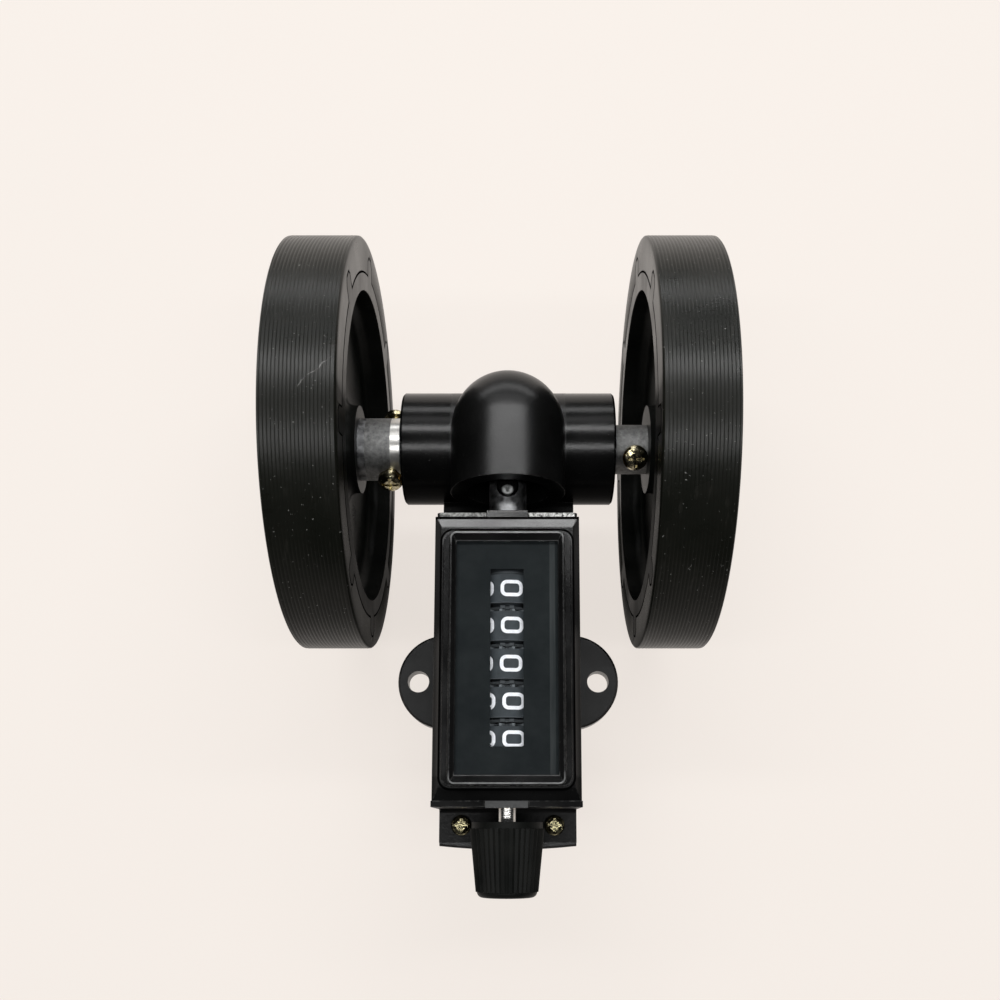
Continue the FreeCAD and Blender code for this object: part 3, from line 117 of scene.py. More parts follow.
class Shader:
    """A node material built step by step round one principled shader."""

    def __init__(self, name):
        self.material = bpy.data.materials.new(name)
        self.material.use_nodes = True
        self.tree = self.material.node_tree
        self.nodes = self.tree.nodes
        self.main = self.nodes["Principled BSDF"]
        self.place = self.nodes.new("ShaderNodeTexCoord").outputs["Object"]

    def link(self, source, target):
        self.tree.links.new(source, target)

    def noise(self, scale, detail=4.0, rough=0.55, stretch=None):
        """Noise in object space; scale counts features per metre."""
        node = self.nodes.new("ShaderNodeTexNoise")
        source = self.place
        if stretch:
            mapping = self.nodes.new("ShaderNodeMapping")
            mapping.inputs["Scale"].default_value = stretch
            self.link(source, mapping.inputs["Vector"])
            source = mapping.outputs["Vector"]
        self.link(source, node.inputs["Vector"])
        node.inputs["Scale"].default_value = scale
        node.inputs["Detail"].default_value = detail
        node.inputs["Roughness"].default_value = rough
        return node.outputs["Fac"]

    def spread(self, source, low, high, to_low=0.0, to_high=1.0):
        """Maps a value range to another one, held at both ends."""
        node = self.nodes.new("ShaderNodeMapRange")
        self.link(source, node.inputs["Value"])
        for name, number in (
                ("From Min", low), ("From Max", high), ("To Min", to_low), ("To Max", to_high)):
            node.inputs[name].default_value = number
        return node.outputs["Result"]

    def math(self, operation, first, second=None):
        node = self.nodes.new("ShaderNodeMath")
        node.operation = operation
        for socket, part in zip(node.inputs, (first, second)):
            if part is None:
                continue
            if isinstance(part, (int, float)):
                socket.default_value = part
            else:
                self.link(part, socket)
        return node.outputs["Value"]

    def mix(self, factor, first, second):
        """A colour between two colours, each a grey number, a triple or a socket."""
        node = self.nodes.new("ShaderNodeMix")
        node.data_type = "RGBA"
        self.link(factor, node.inputs["Factor"])
        for socket, part in ((node.inputs["A"], first), (node.inputs["B"], second)):
            if isinstance(part, (int, float)):
                part = (part, part, part)
            if isinstance(part, tuple):
                socket.default_value = (*part, 1.0)
            else:
                self.link(part, socket)
        return node.outputs["Result"]

    def tint(self, source, first, second, low=0.35, high=0.7):
        """A colour that goes from one to another as a noise goes from low to high."""
        return self.mix(self.spread(source, low, high), first, second)

    def axis(self, name):
        """One object space coordinate, in metres."""
        node = self.nodes.new("ShaderNodeSeparateXYZ")
        self.link(self.place, node.inputs["Vector"])
        return node.outputs[name]

    def colour(self, source):
        self.link(source, self.main.inputs["Base Color"])

    def roughness(self, source):
        if isinstance(source, (int, float)):
            self.main.inputs["Roughness"].default_value = source
        else:
            self.link(source, self.main.inputs["Roughness"])

    def bump(self, height, distance, strength=1.0, edge=None):
        """Relief from a height; edge rounds the corners of the surface by a radius."""
        node = self.nodes.new("ShaderNodeBump")
        node.inputs["Distance"].default_value = distance
        node.inputs["Strength"].default_value = strength
        self.link(height, node.inputs["Height"])
        if edge:
            bevel = self.nodes.new("ShaderNodeBevel")
            bevel.samples = 4
            bevel.inputs["Radius"].default_value = edge
            self.link(bevel.outputs["Normal"], node.inputs["Normal"])
        self.link(node.outputs["Normal"], self.main.inputs["Normal"])

    def edge_wear(self, radius):
        """Near 1 on sharp edges and 0 on flat stretches."""
        bevel = self.nodes.new("ShaderNodeBevel")
        bevel.samples = 4
        bevel.inputs["Radius"].default_value = radius
        true_normal = self.nodes.new("ShaderNodeNewGeometry").outputs["Normal"]
        node = self.nodes.new("ShaderNodeVectorMath")
        node.operation = "DOT_PRODUCT"
        self.link(bevel.outputs["Normal"], node.inputs[0])
        self.link(true_normal, node.inputs[1])
        return self.spread(node.outputs["Value"], 0.97, 0.8)

    def nick(self):
        """A slanting scratch on the front of the left tread: its line, ends and breaks."""
        slant_x, slant_y = -0.69, 0.725
        offset = (-0.0716, -0.0727)
        half_width = (0.00006, 0.00016)
        left_end = (-0.0455, -0.0445)
        right_end = (-0.0385, -0.0372)
        cross = self.math("MULTIPLY", self.axis("X"), slant_x)
        cross = self.math("ADD", cross, self.math("MULTIPLY", self.axis("Y"), slant_y))
        wander = self.spread(self.noise(350.0, 3.0), 0.3, 0.7, *offset)
        near = self.math("ABSOLUTE", self.math("ADD", cross, wander))
        line = self.spread(near, *half_width, 1.0, 0.0)
        length = self.math("MULTIPLY", self.spread(self.axis("X"), *left_end),
                           self.spread(self.axis("X"), *right_end, 1.0, 0.0))
        broken = self.spread(self.noise(900.0, 3.0), 0.42, 0.55)
        front = self.spread(self.axis("Z"), 0.040, 0.045)
        return self.math("MULTIPLY", self.math("MULTIPLY", line, length),
                         self.math("MULTIPLY", broken, front))

    def outline(self, half_x, half_y, corner):
        """Distance in metres outside a rounded rectangle round the middle of the bezel."""
        across = self.math("ABSOLUTE", self.axis("X"))
        along = self.math("ABSOLUTE", self.math("ADD", self.axis("Y"), -BEZEL_MIDDLE * MM))
        across = self.math("ADD", across, (corner - half_x) * MM)
        along = self.math("ADD", along, (corner - half_y) * MM)
        squares = [self.math("POWER", self.math("MAXIMUM", part, 0.0), 2.0)
                   for part in (across, along)]
        outside = self.math("SQRT", self.math("ADD", *squares))
        inside = self.math("MINIMUM", self.math("MAXIMUM", across, along), 0.0)
        return self.math("ADD", self.math("ADD", outside, inside), -corner * MM)

    def band(self, source, low, high):
        """1 between two values in millimetres, with soft ends."""
        soft = 0.06
        rise = self.spread(source, (low - soft) * MM, (low + soft) * MM)
        fall = self.spread(source, (high - soft) * MM, (high + soft) * MM, 1.0, 0.0)
        return self.math("MULTIPLY", rise, fall)

    def level(self, source):
        """Strength of the gloss."""
        self.link(source, self.main.inputs["Specular IOR Level"])

    def wheel_gloss(self, face, rest):
        """Gloss of a wheel: on its inner face it fades towards the counter."""
        inner_face = (0.0354, 0.0357)
        fade = (0.058, 0.084)
        faded_share = 0.014
        inward = self.math("ABSOLUTE", self.math("ADD", self.axis("X"), -WHEEL_MIDDLE_X * MM))
        plane = self.spread(inward, *inner_face, 1.0, 0.0)
        fading = self.spread(self.axis("Y"), *fade, face * faded_share, face)
        self.level(self.math("ADD", self.math("MULTIPLY", plane, fading),
                             self.math("MULTIPLY", self.math("SUBTRACT", 1.0, plane), rest)))

    def set(self, **values):
        for name, number in values.items():
            self.main.inputs[name.replace("_", " ")].default_value = number


def black_paint(name, dark, light, low, high, level, grain, depth, edge, wear=0.0):
    """Black enamel over metal: blotchy gloss, fine grain and a little edge wear."""
    made = Shader(name)
    blotch = made.noise(90.0)
    fine = made.noise(grain, 6.0, 0.6)
    base = made.tint(blotch, dark, light)
    if wear:
        chips = made.math("MULTIPLY", made.edge_wear(0.0004),
                          made.spread(made.noise(700.0), 0.45, 0.62))
        base = made.mix(made.math("MULTIPLY", chips, wear), base, (0.22, 0.22, 0.21))
    dust = made.spread(made.noise(2600.0, 2.0), 0.73, 0.78)
    made.colour(made.mix(made.math("MULTIPLY", dust, 0.35), base, (0.16, 0.16, 0.15)))
    cloudy = made.math("ADD", blotch, made.math("MULTIPLY", fine, 0.4))
    made.roughness(made.spread(cloudy, 0.5, 0.95, low, high))
    made.bump(fine, depth, 0.6, edge)
    made.set(Specular_IOR_Level=level)
    return made


def casting_paint():
    """Enamel of the casting: glossier on the tube, dull in the corners below it."""
    made = black_paint("casting_paint", 0.0018, 0.0036, 0.28, 0.34, 0.3, 1500.0,
                       0.00004, 0.0003, 0.15)
    base_end = (0.031, 0.034)
    tube_foot = (0.0500, 0.0560)
    corner_top = (0.018, 0.022)
    dome_side = (0.0143, 0.0150)
    tube_start = (0.045, 0.047)
    along = made.axis("Y")
    above = made.spread(along, *base_end)
    low = made.math("MULTIPLY", made.spread(along, *tube_foot, 1.0, 0.0),
                    made.spread(made.axis("Z"), *corner_top, 1.0, 0.0))
    corner = made.math("MULTIPLY", above, low)
    side = made.math("ABSOLUTE", made.axis("X"))
    tube = made.math("MULTIPLY", made.spread(side, *dome_side), made.spread(along, *tube_start))
    made.level(made.math("MULTIPLY", made.spread(corner, 0.0, 1.0, 0.3, 0.02),
                         made.spread(tube, 0.0, 1.0, 1.0, 0.72)))
    painted = made.main.inputs["Roughness"].links[0].from_socket
    made.roughness(made.math("SUBTRACT", painted, made.math("MULTIPLY", tube, 0.09)))
    return made.material


def cover_paint():
    """Enamel of cover and bezel: painted shade in gaps, painted edge highlights, paler duller sides.
    """
    made = black_paint("cover_paint", 0.003, 0.0055, 0.14, 0.24, 0.42, 2600.0, 0.00002, 0.0004, 0.3)
    window_end = (0.0262, 0.0280)
    tongue_edge = (-0.0308, -0.0310)
    side_start = (0.0154, 0.0160)
    side_gloss = (0.0158, 0.0166)
    shoulder = (0.0325, 0.0331)
    low_end = (-0.0258, -0.0250)
    end_gap_shade = (35.35, 36.08)
    painted = made.main.inputs["Base Color"].links[0].from_socket
    from_middle = made.math("ABSOLUTE", made.math("ADD", made.axis("Y"), -BEZEL_MIDDLE * MM))
    ends = made.spread(from_middle, *window_end, 0.06, 1.0)
    outer = made.outline(14.95, 29.85, 2.2)
    ridge = made.outline(13.45, 29.5, 1.7)
    # Thin pale lines along the bezel's outer edge, its ridge and the window's edge, strongest at the
    # top and at the window's ends: painted highlights.
    mouth_highlight = made.math("MULTIPLY", made.band(made.outline(11.85, 27.2, 0.01), -0.05, 0.22), 0.6)
    highlight_lines = made.math("MULTIPLY", made.band(outer, -0.05, 0.24),
                       made.spread(made.axis("Y"), -0.02, 0.02, 0.15, 0.8))
    highlight_lines = made.math("MAXIMUM", highlight_lines, made.band(ridge, -0.56, -0.24))
    highlight_lines = made.math("MULTIPLY", made.math("MAXIMUM", highlight_lines, mouth_highlight), ends)
    highlight_lines = made.math("MULTIPLY", highlight_lines, made.spread(made.noise(500.0, 4.0), 0.3, 0.6, 0.55, 1.0))
    tongue = made.math("MULTIPLY", made.spread(made.axis("Y"), *tongue_edge),
                       made.spread(made.noise(1200.0, 4.0), 0.2, 0.8, 0.3, 0.5))
    # The side walls are made a little paler, most towards the top.
    across = made.math("ABSOLUTE", made.axis("X"))
    pale_sides = made.math("MULTIPLY", made.spread(across, *side_start),
                      made.spread(made.axis("Y"), -0.005, 0.03))
    painted = made.mix(made.math("MULTIPLY", pale_sides, 0.12), painted, (0.16, 0.155, 0.15))
    # The painted highlight lines and the paler tongue take one pale grey.
    painted = made.mix(made.math("MAXIMUM", highlight_lines, tongue), painted, (0.15, 0.152, 0.152))
    # A near-black band just outside the bezel and one at the top end, with no gloss: painted shade of
    # the gaps there.
    gap_shade = made.math("MAXIMUM", made.band(outer, 0.34, 0.8), made.band(made.axis("Y"), *end_gap_shade))
    made.colour(made.mix(gap_shade, painted, 0.001))
    side = made.spread(across, *side_gloss, 0.42, 0.16)
    shine = made.math("MULTIPLY", made.spread(made.axis("Y"), *shoulder, 1.0, 1.75),
                      made.spread(made.axis("Y"), *low_end, 0.4, 1.0))
    made.level(made.math("MULTIPLY", made.math("MULTIPLY", side, shine),
                         made.math("SUBTRACT", 1.0, gap_shade)))
    return made.material


def foot_paint():
    """Dull enamel of the lower plate, darkest on its cut front edge."""
    made = black_paint("foot_paint", 0.003, 0.011, 0.32, 0.6, 0.12, 900.0, 0.0002, 0.0003, 0.5)
    front_edge = (0.0280, 0.0290)
    made.level(made.spread(made.axis("Z"), *front_edge, 0.12, 0.03))
    return made.material


def rubber():
    """Dull black rubber with a greenish brown bloom, specks and a nick on one tread."""
    made = Shader("black_rubber")
    bloom = made.noise(45.0, 5.0)
    streaks = made.noise(160.0, 3.0, 0.5, (4.0, 1.0, 1.0))
    base = made.tint(bloom, (0.0055, 0.006, 0.0045), (0.0105, 0.0105, 0.0085))
    base = made.mix(made.spread(streaks, 0.62, 0.8), base, (0.017, 0.0165, 0.014))
    specks = made.spread(made.noise(1500.0, 2.0), 0.715, 0.74)
    base = made.mix(made.math("MULTIPLY", specks, 0.7), base, (0.2, 0.2, 0.19))
    base = made.mix(made.math("MULTIPLY", made.nick(), 0.6), base, (0.24, 0.24, 0.23))
    made.colour(base)
    made.roughness(made.spread(bloom, 0.3, 0.75, 0.25, 0.36))
    made.bump(made.noise(2200.0, 5.0), 0.00004, 0.5)
    made.wheel_gloss(0.12, made.spread(made.axis("Y"), 0.020, 0.055, 0.07, 0.215))
    return made.material


def wheel_plastic():
    """Hard black moulding with flow lines and small gloss patches."""
    made = Shader("black_moulding")
    cloud = made.noise(70.0, 5.0)
    made.colour(made.tint(cloud, (0.003, 0.0034, 0.003), (0.0075, 0.0078, 0.007)))
    made.roughness(made.spread(cloud, 0.3, 0.75, 0.26, 0.42))
    made.bump(made.noise(900.0, 5.0), 0.00006, 0.5, 0.0002)
    made.wheel_gloss(0.12, made.spread(cloud, 0.3, 0.75, 0.015, 0.045))
    return made.material


def metal(name, dark, light, low, high, scale, stretch=None, depth=0.00003, edge=0.0001):
    """Bare or plated metal with brushed or cloudy variation."""
    made = Shader(name)
    cloud = made.noise(scale, 6.0, 0.6, stretch)
    made.colour(made.mix(made.spread(cloud, 0.35, 0.68), dark, light))
    made.roughness(made.spread(cloud, 0.3, 0.75, low, high))
    made.bump(cloud, depth, 0.6, edge)
    made.set(Metallic=1.0)
    return made.material


def sleeve_metal():
    """Grey sand blasted sleeves; the left one is turned bright at its inner end."""
    made = Shader("sleeve_metal")
    cloud = made.noise(900.0, 6.0, 0.65)
    lines = made.noise(2600.0, 3.0, 0.5, (6.0, 0.3, 0.3))
    turned = (-0.03085, -0.03065)
    bright = made.spread(made.axis("X"), *turned)
    left = made.math("LESS_THAN", made.axis("X"), 0.0)
    bright = made.math("MULTIPLY", bright, left)
    grey = made.mix(made.spread(cloud, 0.3, 0.75), (0.12, 0.122, 0.12), (0.3, 0.3, 0.295))
    shine = made.mix(made.spread(lines, 0.3, 0.7), (0.62, 0.61, 0.58), (0.85, 0.84, 0.81))
    made.colour(made.mix(bright, grey, shine))
    made.roughness(made.spread(bright, 0.0, 1.0, 0.52, 0.28))
    made.bump(cloud, 0.00006, 0.5, 0.00015)
    made.set(Metallic=0.9)
    return made.material


def set_screw_steel():
    """Screw steel with a grey socket in the middle; round it the colour is painted near-black as the
    shade of its hole.
    """
    made = Shader("set_screw_steel")
    cloud = made.noise(1100.0, 5.0)
    screw_y = 0.0445
    shadow_ring_edge = (0.0010, 0.0015)
    along = made.math("ADD", made.axis("Y"), -screw_y)
    apart = made.math("SQRT", made.math("ADD", made.math("POWER", made.axis("X"), 2.0),
                                        made.math("POWER", along, 2.0)))
    grey = made.mix(made.spread(cloud, 0.3, 0.7), (0.12, 0.125, 0.125), (0.34, 0.345, 0.34))
    # Near-black beyond the middle of the socket: painted shade of the hole round the screw.
    made.colour(made.mix(made.spread(apart, *shadow_ring_edge), grey, 0.002))
    made.roughness(made.spread(cloud, 0.3, 0.7, 0.35, 0.6))
    made.bump(cloud, 0.00006, 0.6, 0.0002)
    made.set(Metallic=0.6, Specular_IOR_Level=0.05)
    return made.material


def frame_sheet():
    """Black sheet whose cut front edge shows mottled bare metal."""
    made = Shader("frame_sheet")
    mottle = made.noise(1500.0, 5.0, 0.7)
    cut_edge = (0.02985, 0.02995)
    end_plate = (0.0357, 0.0361)
    bare = made.math("MULTIPLY", made.spread(made.axis("Z"), *cut_edge),
                     made.spread(made.axis("Y"), *end_plate))
    patches = made.math("MULTIPLY", bare, made.spread(mottle, 0.38, 0.56))
    cloud = made.noise(120.0)
    black = made.tint(cloud, 0.004, 0.010)
    made.colour(made.mix(patches, black, made.mix(made.spread(made.axis("X"), -0.006, 0.006),
                                                  (0.17, 0.17, 0.165), (0.33, 0.33, 0.32))))
    made.link(made.math("MULTIPLY", patches, 0.85), made.main.inputs["Metallic"])
    made.roughness(made.spread(cloud, 0.3, 0.7, 0.3, 0.45))
    made.bump(mottle, 0.00005, 0.5, 0.0002)
    made.set(Specular_IOR_Level=0.15)
    return made.material


def lens_glass():
    """Clear cover glass: all but see through, so that its gloss stays soft."""
    made = Shader("cover_glass")
    smear = made.noise(60.0, 4.0)
    made.colour(made.mix(made.spread(smear, 0.3, 0.7), (0.84, 0.88, 0.88), (0.90, 0.93, 0.92)))
    made.roughness(made.spread(smear, 0.35, 0.75, 0.05, 0.14))
    made.set(Metallic=1.0, Alpha=0.012)
    return made.material


def dial_face():
    """Deep blue-black dial behind the glass, with a faint grain and a painted reflection along one
    side.
    """
    made = Shader("dial_face")
    reflection_band = (9.9, 11.2)
    cloud = made.noise(140.0, 5.0)
    base = made.tint(cloud, (0.006, 0.0085, 0.0095), (0.0125, 0.0155, 0.0165))
    # A paler streaky band along one side: a painted reflection of the glass.
    painted_reflection = made.math("MULTIPLY", made.band(made.axis("X"), *reflection_band),
                      made.spread(made.noise(60.0, 3.0, 0.5, (8.0, 0.6, 1.0)), 0.35, 0.7, 0.2, 0.8))
    made.colour(made.mix(painted_reflection, base, (0.04, 0.045, 0.046)))
    made.roughness(made.spread(cloud, 0.3, 0.7, 0.45, 0.6))
    made.bump(made.noise(3000.0), 0.00002, 0.4)
    made.set(Specular_IOR_Level=0.05)
    return made.material


def drum_plastic():
    """Grey moulding of the number drums, painted paler where their toothed ends meet to offset the
    shade there.
    """
    made = Shader("drum_plastic")
    cloud = made.noise(300.0, 5.0)
    base = made.tint(cloud, (0.032, 0.038, 0.042), (0.050, 0.059, 0.066))
    gap_lift_zone = (0.00085, 0.00105)
    # Paler near the toothed ends, where the drums meet: painted light that evens out the shade in the
    # gaps.
    off = made.math("PINGPONG", made.math("ADD", made.axis("Y"), GAP_PHASE * MM), DRUM_PITCH / 2 * MM)
    made.colour(made.mix(made.spread(off, *gap_lift_zone, 1.0, 0.0), base, (0.13, 0.145, 0.155)))
    made.roughness(made.spread(cloud, 0.3, 0.7, 0.4, 0.55))
    made.bump(made.noise(2500.0), 0.00002, 0.4)
    made.set(Specular_IOR_Level=0.08)
    return made.material


def digit_paint():
    made = Shader("digit_paint")
    cloud = made.noise(900.0, 4.0)
    made.colour(made.tint(cloud, (0.74, 0.76, 0.80), (0.88, 0.90, 0.94)))
    made.roughness(0.5)
    made.set(Specular_IOR_Level=0.1)
    made.bump(cloud, 0.00001, 0.4)
    return made.material


def knob_plastic():
    made = Shader("knob_plastic")
    cloud = made.noise(160.0, 5.0)
    made.colour(made.tint(cloud, (0.0045, 0.0050, 0.0046), (0.0085, 0.0088, 0.0080)))
    made.roughness(made.spread(cloud, 0.3, 0.7, 0.36, 0.5))
    made.bump(made.noise(1800.0, 5.0), 0.00004, 0.5, 0.00012)
    made.set(Specular_IOR_Level=0.05)
    return made.material


def seam_shadow():
    """Painted shade of the gap where the tyre meets the core."""
    made = Shader("seam_shadow")
    made.colour(made.tint(made.noise(400.0), 0.001, 0.004))
    made.roughness(0.9)
    made.set(Specular_IOR_Level=0.0)
    return made.material


def pale_plastic():
    made = Shader("drive_plastic")
    cloud = made.noise(300.0, 4.0)
    made.colour(made.tint(cloud, (0.6, 0.59, 0.55), (0.74, 0.73, 0.69)))
    made.roughness(made.spread(cloud, 0.3, 0.7, 0.4, 0.55))
    made.bump(cloud, 0.00001, 0.4)
    return made.material


MATERIALS = {
    "rubber": rubber(),
    "wheel": wheel_plastic(),
    "casting": casting_paint(),
    "cover": cover_paint(),
    "foot": foot_paint(),
    "sheet": frame_sheet(),
    "steel": metal("bright_steel", (0.5, 0.49, 0.47), (0.74, 0.73, 0.7), 0.16, 0.34, 1200.0,
                   (0.3, 6.0, 6.0)),
    "axle": metal("axle_steel", (0.3, 0.3, 0.29), (0.55, 0.54, 0.52), 0.22, 0.42, 1200.0,
                  (6.0, 0.3, 0.3)),
    "dark_steel": metal("dark_steel", (0.10, 0.101, 0.104), (0.34, 0.345, 0.35), 0.34, 0.6, 520.0,
                        None, 0.00008, 0.0002),
    "foot_screw": metal("foot_screw_plating", (0.035, 0.032, 0.016), (0.42, 0.38, 0.23),
                        0.12, 0.3, 1100.0, None, 0.00014),
    "set_screw": set_screw_steel(),
    "bronze": metal("bronze", (0.36, 0.24, 0.11), (0.56, 0.4, 0.2), 0.25, 0.45, 800.0),
    "screw": metal("screw_plating", (0.14, 0.12, 0.06), (0.72, 0.65, 0.45), 0.12, 0.3, 1100.0,
                   None, 0.0001),
    "sleeve": sleeve_metal(),
    "dial": dial_face(),
    "glass": lens_glass(),
    "drum": drum_plastic(),
    "digit": digit_paint(),
    "knob": knob_plastic(),
    # Painted shade for the gaps round the wheel lobes.
    "gap_shade": seam_shadow(),
    "drive": pale_plastic(),
}

NODE_MATERIALS = {
    "casting": ["gear_housing"],
    "cover": ["case_cover", "bezel"],
    "foot": ["lower_end_plate"],
    "sheet": ["counter_frame"],
    "wheel": ["wheel_core_left", "wheel_core_right"],
    "rubber": ["tyre_left", "tyre_right"],
    "axle": ["wheel_axle", "axle_gear", "pinion_shaft"],
    "steel": ["reset_shaft", "stop_collar", "input_shaft", "output_shaft", "output_spacer"],
    "dark_steel": ["coupling_sleeve", "thrust_washer_left", "thrust_washer_right", "hub_spacer"],
    "set_screw": ["coupling_screws"],
    "bronze": ["axle_bush_left", "axle_bush_right", "output_bearing", "input_bush",
               "reset_bush", "output_gear"],
    "screw": ["frame_screws", "sleeve_screws_left", "sleeve_screws_right"],
    "foot_screw": ["foot_screws"],
    "sleeve": ["hub_sleeve_left", "hub_sleeve_right"],
    "dial": ["dial_mask"],
    "glass": ["window_lens"],
    "drum": [f"number_drum_{number}" for number in range(1, 6)],
    "drive": [f"transfer_pinion_{number}" for number in range(1, 5)],
    "knob": ["reset_knob"],
}

for finish, names in NODE_MATERIALS.items():
    for name in names:
        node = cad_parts[name]
        node.data.materials.clear()
        node.data.materials.append(MATERIALS[finish])


# Pieces


def piece(name, points, faces, finish, body, sharp=35.0):
    """A mesh object from points in millimetres, riding on a body."""
    mesh = bpy.data.meshes.new(name)
    mesh.from_pydata([Vector(point) * MM for point in points], [], faces)
    mesh.update()
    mesh.materials.append(MATERIALS[finish])
    mesh.shade_smooth()
    mesh.set_sharp_from_angle(angle=math.radians(sharp))
    made = bpy.data.objects.new(name, mesh)
    bpy.context.scene.collection.objects.link(made)
    bpy.context.view_layer.update()
    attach(made, body)
    return made


def grid_faces(rows, columns):
    """Quads of a grid that closes both ways."""
    faces = []
    for row in range(rows):
        for column in range(columns):
            right = (column + 1) % columns
            below = (row + 1) % rows
            faces.append((row * columns + column, row * columns + right,
                          below * columns + right, below * columns + column))
    return faces


def lobe_edge():
    """Angles round the wheel with the radius where the tyre meets the core."""
    corners = [(CORE_EDGE, LOBE_HALF), (LOBE_TIP - LOBE_CORNER, LOBE_HALF), (LOBE_TIP, LOBE_CORNER)]
    inside = [(math.degrees(math.atan2(side, along)), math.hypot(side, along))
              for along, side in corners]
    inside[0] = (inside[0][0] + 0.15, CORE_EDGE)
    pitch = 360.0 / LOBE_COUNT
    steps = 18
    edge = []
    for lobe in range(LOBE_COUNT):
        middle = LOBE_TURN + pitch * lobe
        edge += [(middle - turn, radius) for turn, radius in inside]
        edge.append((middle, LOBE_TIP))
        edge += [(middle + turn, radius) for turn, radius in reversed(inside)]
        first = inside[0][0]
        span = pitch - 2 * first
        for step in range(1, steps):
            edge.append((middle + first + span * step / steps, CORE_EDGE))
    return edge


def tread_profile():
    """Across the tyre from one side to the other: fine ribs between plain shoulders."""
    half = WHEEL_WIDTH / 2
    shoulder = 0.55
    ribs = 19
    groove = 0.13
    profile = [(-half, WHEEL_RADIUS - 0.75), (-half + 0.12, WHEEL_RADIUS - 0.3),
               (-half + 0.35, WHEEL_RADIUS - 0.06)]
    width = 2 * (half - shoulder) / ribs
    for rib in range(ribs):
        start = -half + shoulder + width * rib
        for share, drop in ((0.0, groove), (0.15, 0.075), (0.33, 0.01),
                            (0.67, 0.01), (0.85, 0.075)):
            profile.append((start + width * share, WHEEL_RADIUS - drop))
    profile.append((half - shoulder, WHEEL_RADIUS - groove))
    profile += [(-across, radius) for across, radius in reversed(profile[:3])]
    return profile


def make_tyre(side, middle):
    """The tyre with its ribbed tread and the slots for the lobes of the core."""
    profile = tread_profile()
    half = WHEEL_WIDTH / 2
    points = []
    edge = lobe_edge()
    for turn, inner in edge:
        angle = math.radians(turn)
        loop = [(-half + SEAM, inner), (-half, inner + SEAM), (-half, WHEEL_RADIUS - 1.6)] + profile
        loop += [(half, WHEEL_RADIUS - 1.6), (half, inner + SEAM), (half - SEAM, inner)]
        for across, radius in loop:
            points.append((middle + across, AXLE_Y + radius * math.cos(angle),
                           AXLE_Z + radius * math.sin(angle)))
    columns = len(profile) + 6
    made = piece(f"tread_{side}", points, grid_faces(len(edge), columns), "rubber",
                 "axle_set", 50.0)
    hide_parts(f"tyre_{side}")


def make_gap_shade(side, face):
    """A near-black ribbon round the lobes on the inner face of a wheel: painted shade of the gap."""
    edge = [Vector((math.cos(math.radians(turn)), math.sin(math.radians(turn)))) * (radius + 0.10)
            for turn, radius in lobe_edge()]
    spots, faces = ribbon(edge + edge[:1], True, 0.46)
    points = [(face, AXLE_Y + spot.x, AXLE_Z + spot.y) for spot in spots]
    piece(f"seam_{side}", points, faces, "gap_shade", "axle_set")


def screw_frame(origin, outward):
    """A matrix that takes local +Z to a direction, at a place in millimetres."""
    turn = Vector(outward).to_track_quat("Z", "Y").to_matrix().to_4x4()
    return Matrix.Translation(Vector(origin)) @ turn


def make_thread(name, place, low, high):
    """A screw thread: a ridge that winds round the shank."""
    per_turn = 28
    spread = 0.42 * THREAD_PITCH
    sunk = 0.05
    steps = int((high - low) / THREAD_PITCH * per_turn)
    points = []
    for step in range(steps + 1):
        angle = 2 * math.pi * step / per_turn
        height = low + THREAD_PITCH * step / per_turn
        fade = min(1.0, step / 8, (steps - step) / 8)
        for offset, reach in ((-spread, -sunk), (0.0, THREAD_DEPTH * fade), (spread, -sunk)):
            radius = SHANK_RADIUS + reach
            spot = Vector((radius * math.cos(angle), radius * math.sin(angle), height + offset))
            points.append(place @ spot)
    faces = []
    for step in range(steps):
        start = step * 3
        for column in range(3):
            right = (column + 1) % 3
            faces.append((start + column, start + right, start + 3 + right, start + 3 + column))
    faces.append((0, 2, 1))
    faces.append((steps * 3, steps * 3 + 1, steps * 3 + 2))
    piece(name, points, faces, "screw", "axle_set", 25.0)


def make_threads():
    """The threads that show under the four sleeve screw heads."""
    for side, hole, lean, surface in SLEEVE_SCREWS:
        angle = math.radians(lean)
        for which, sign in (("front", 1), ("rear", -1)):
            outward = (0, -sign * math.sin(angle), sign * math.cos(angle))
            place = screw_frame((hole, AXLE_Y, AXLE_Z), outward)
            make_thread(f"screw_thread_{side}_{which}", place, surface + THREAD_START,
                        surface + THREAD_END)


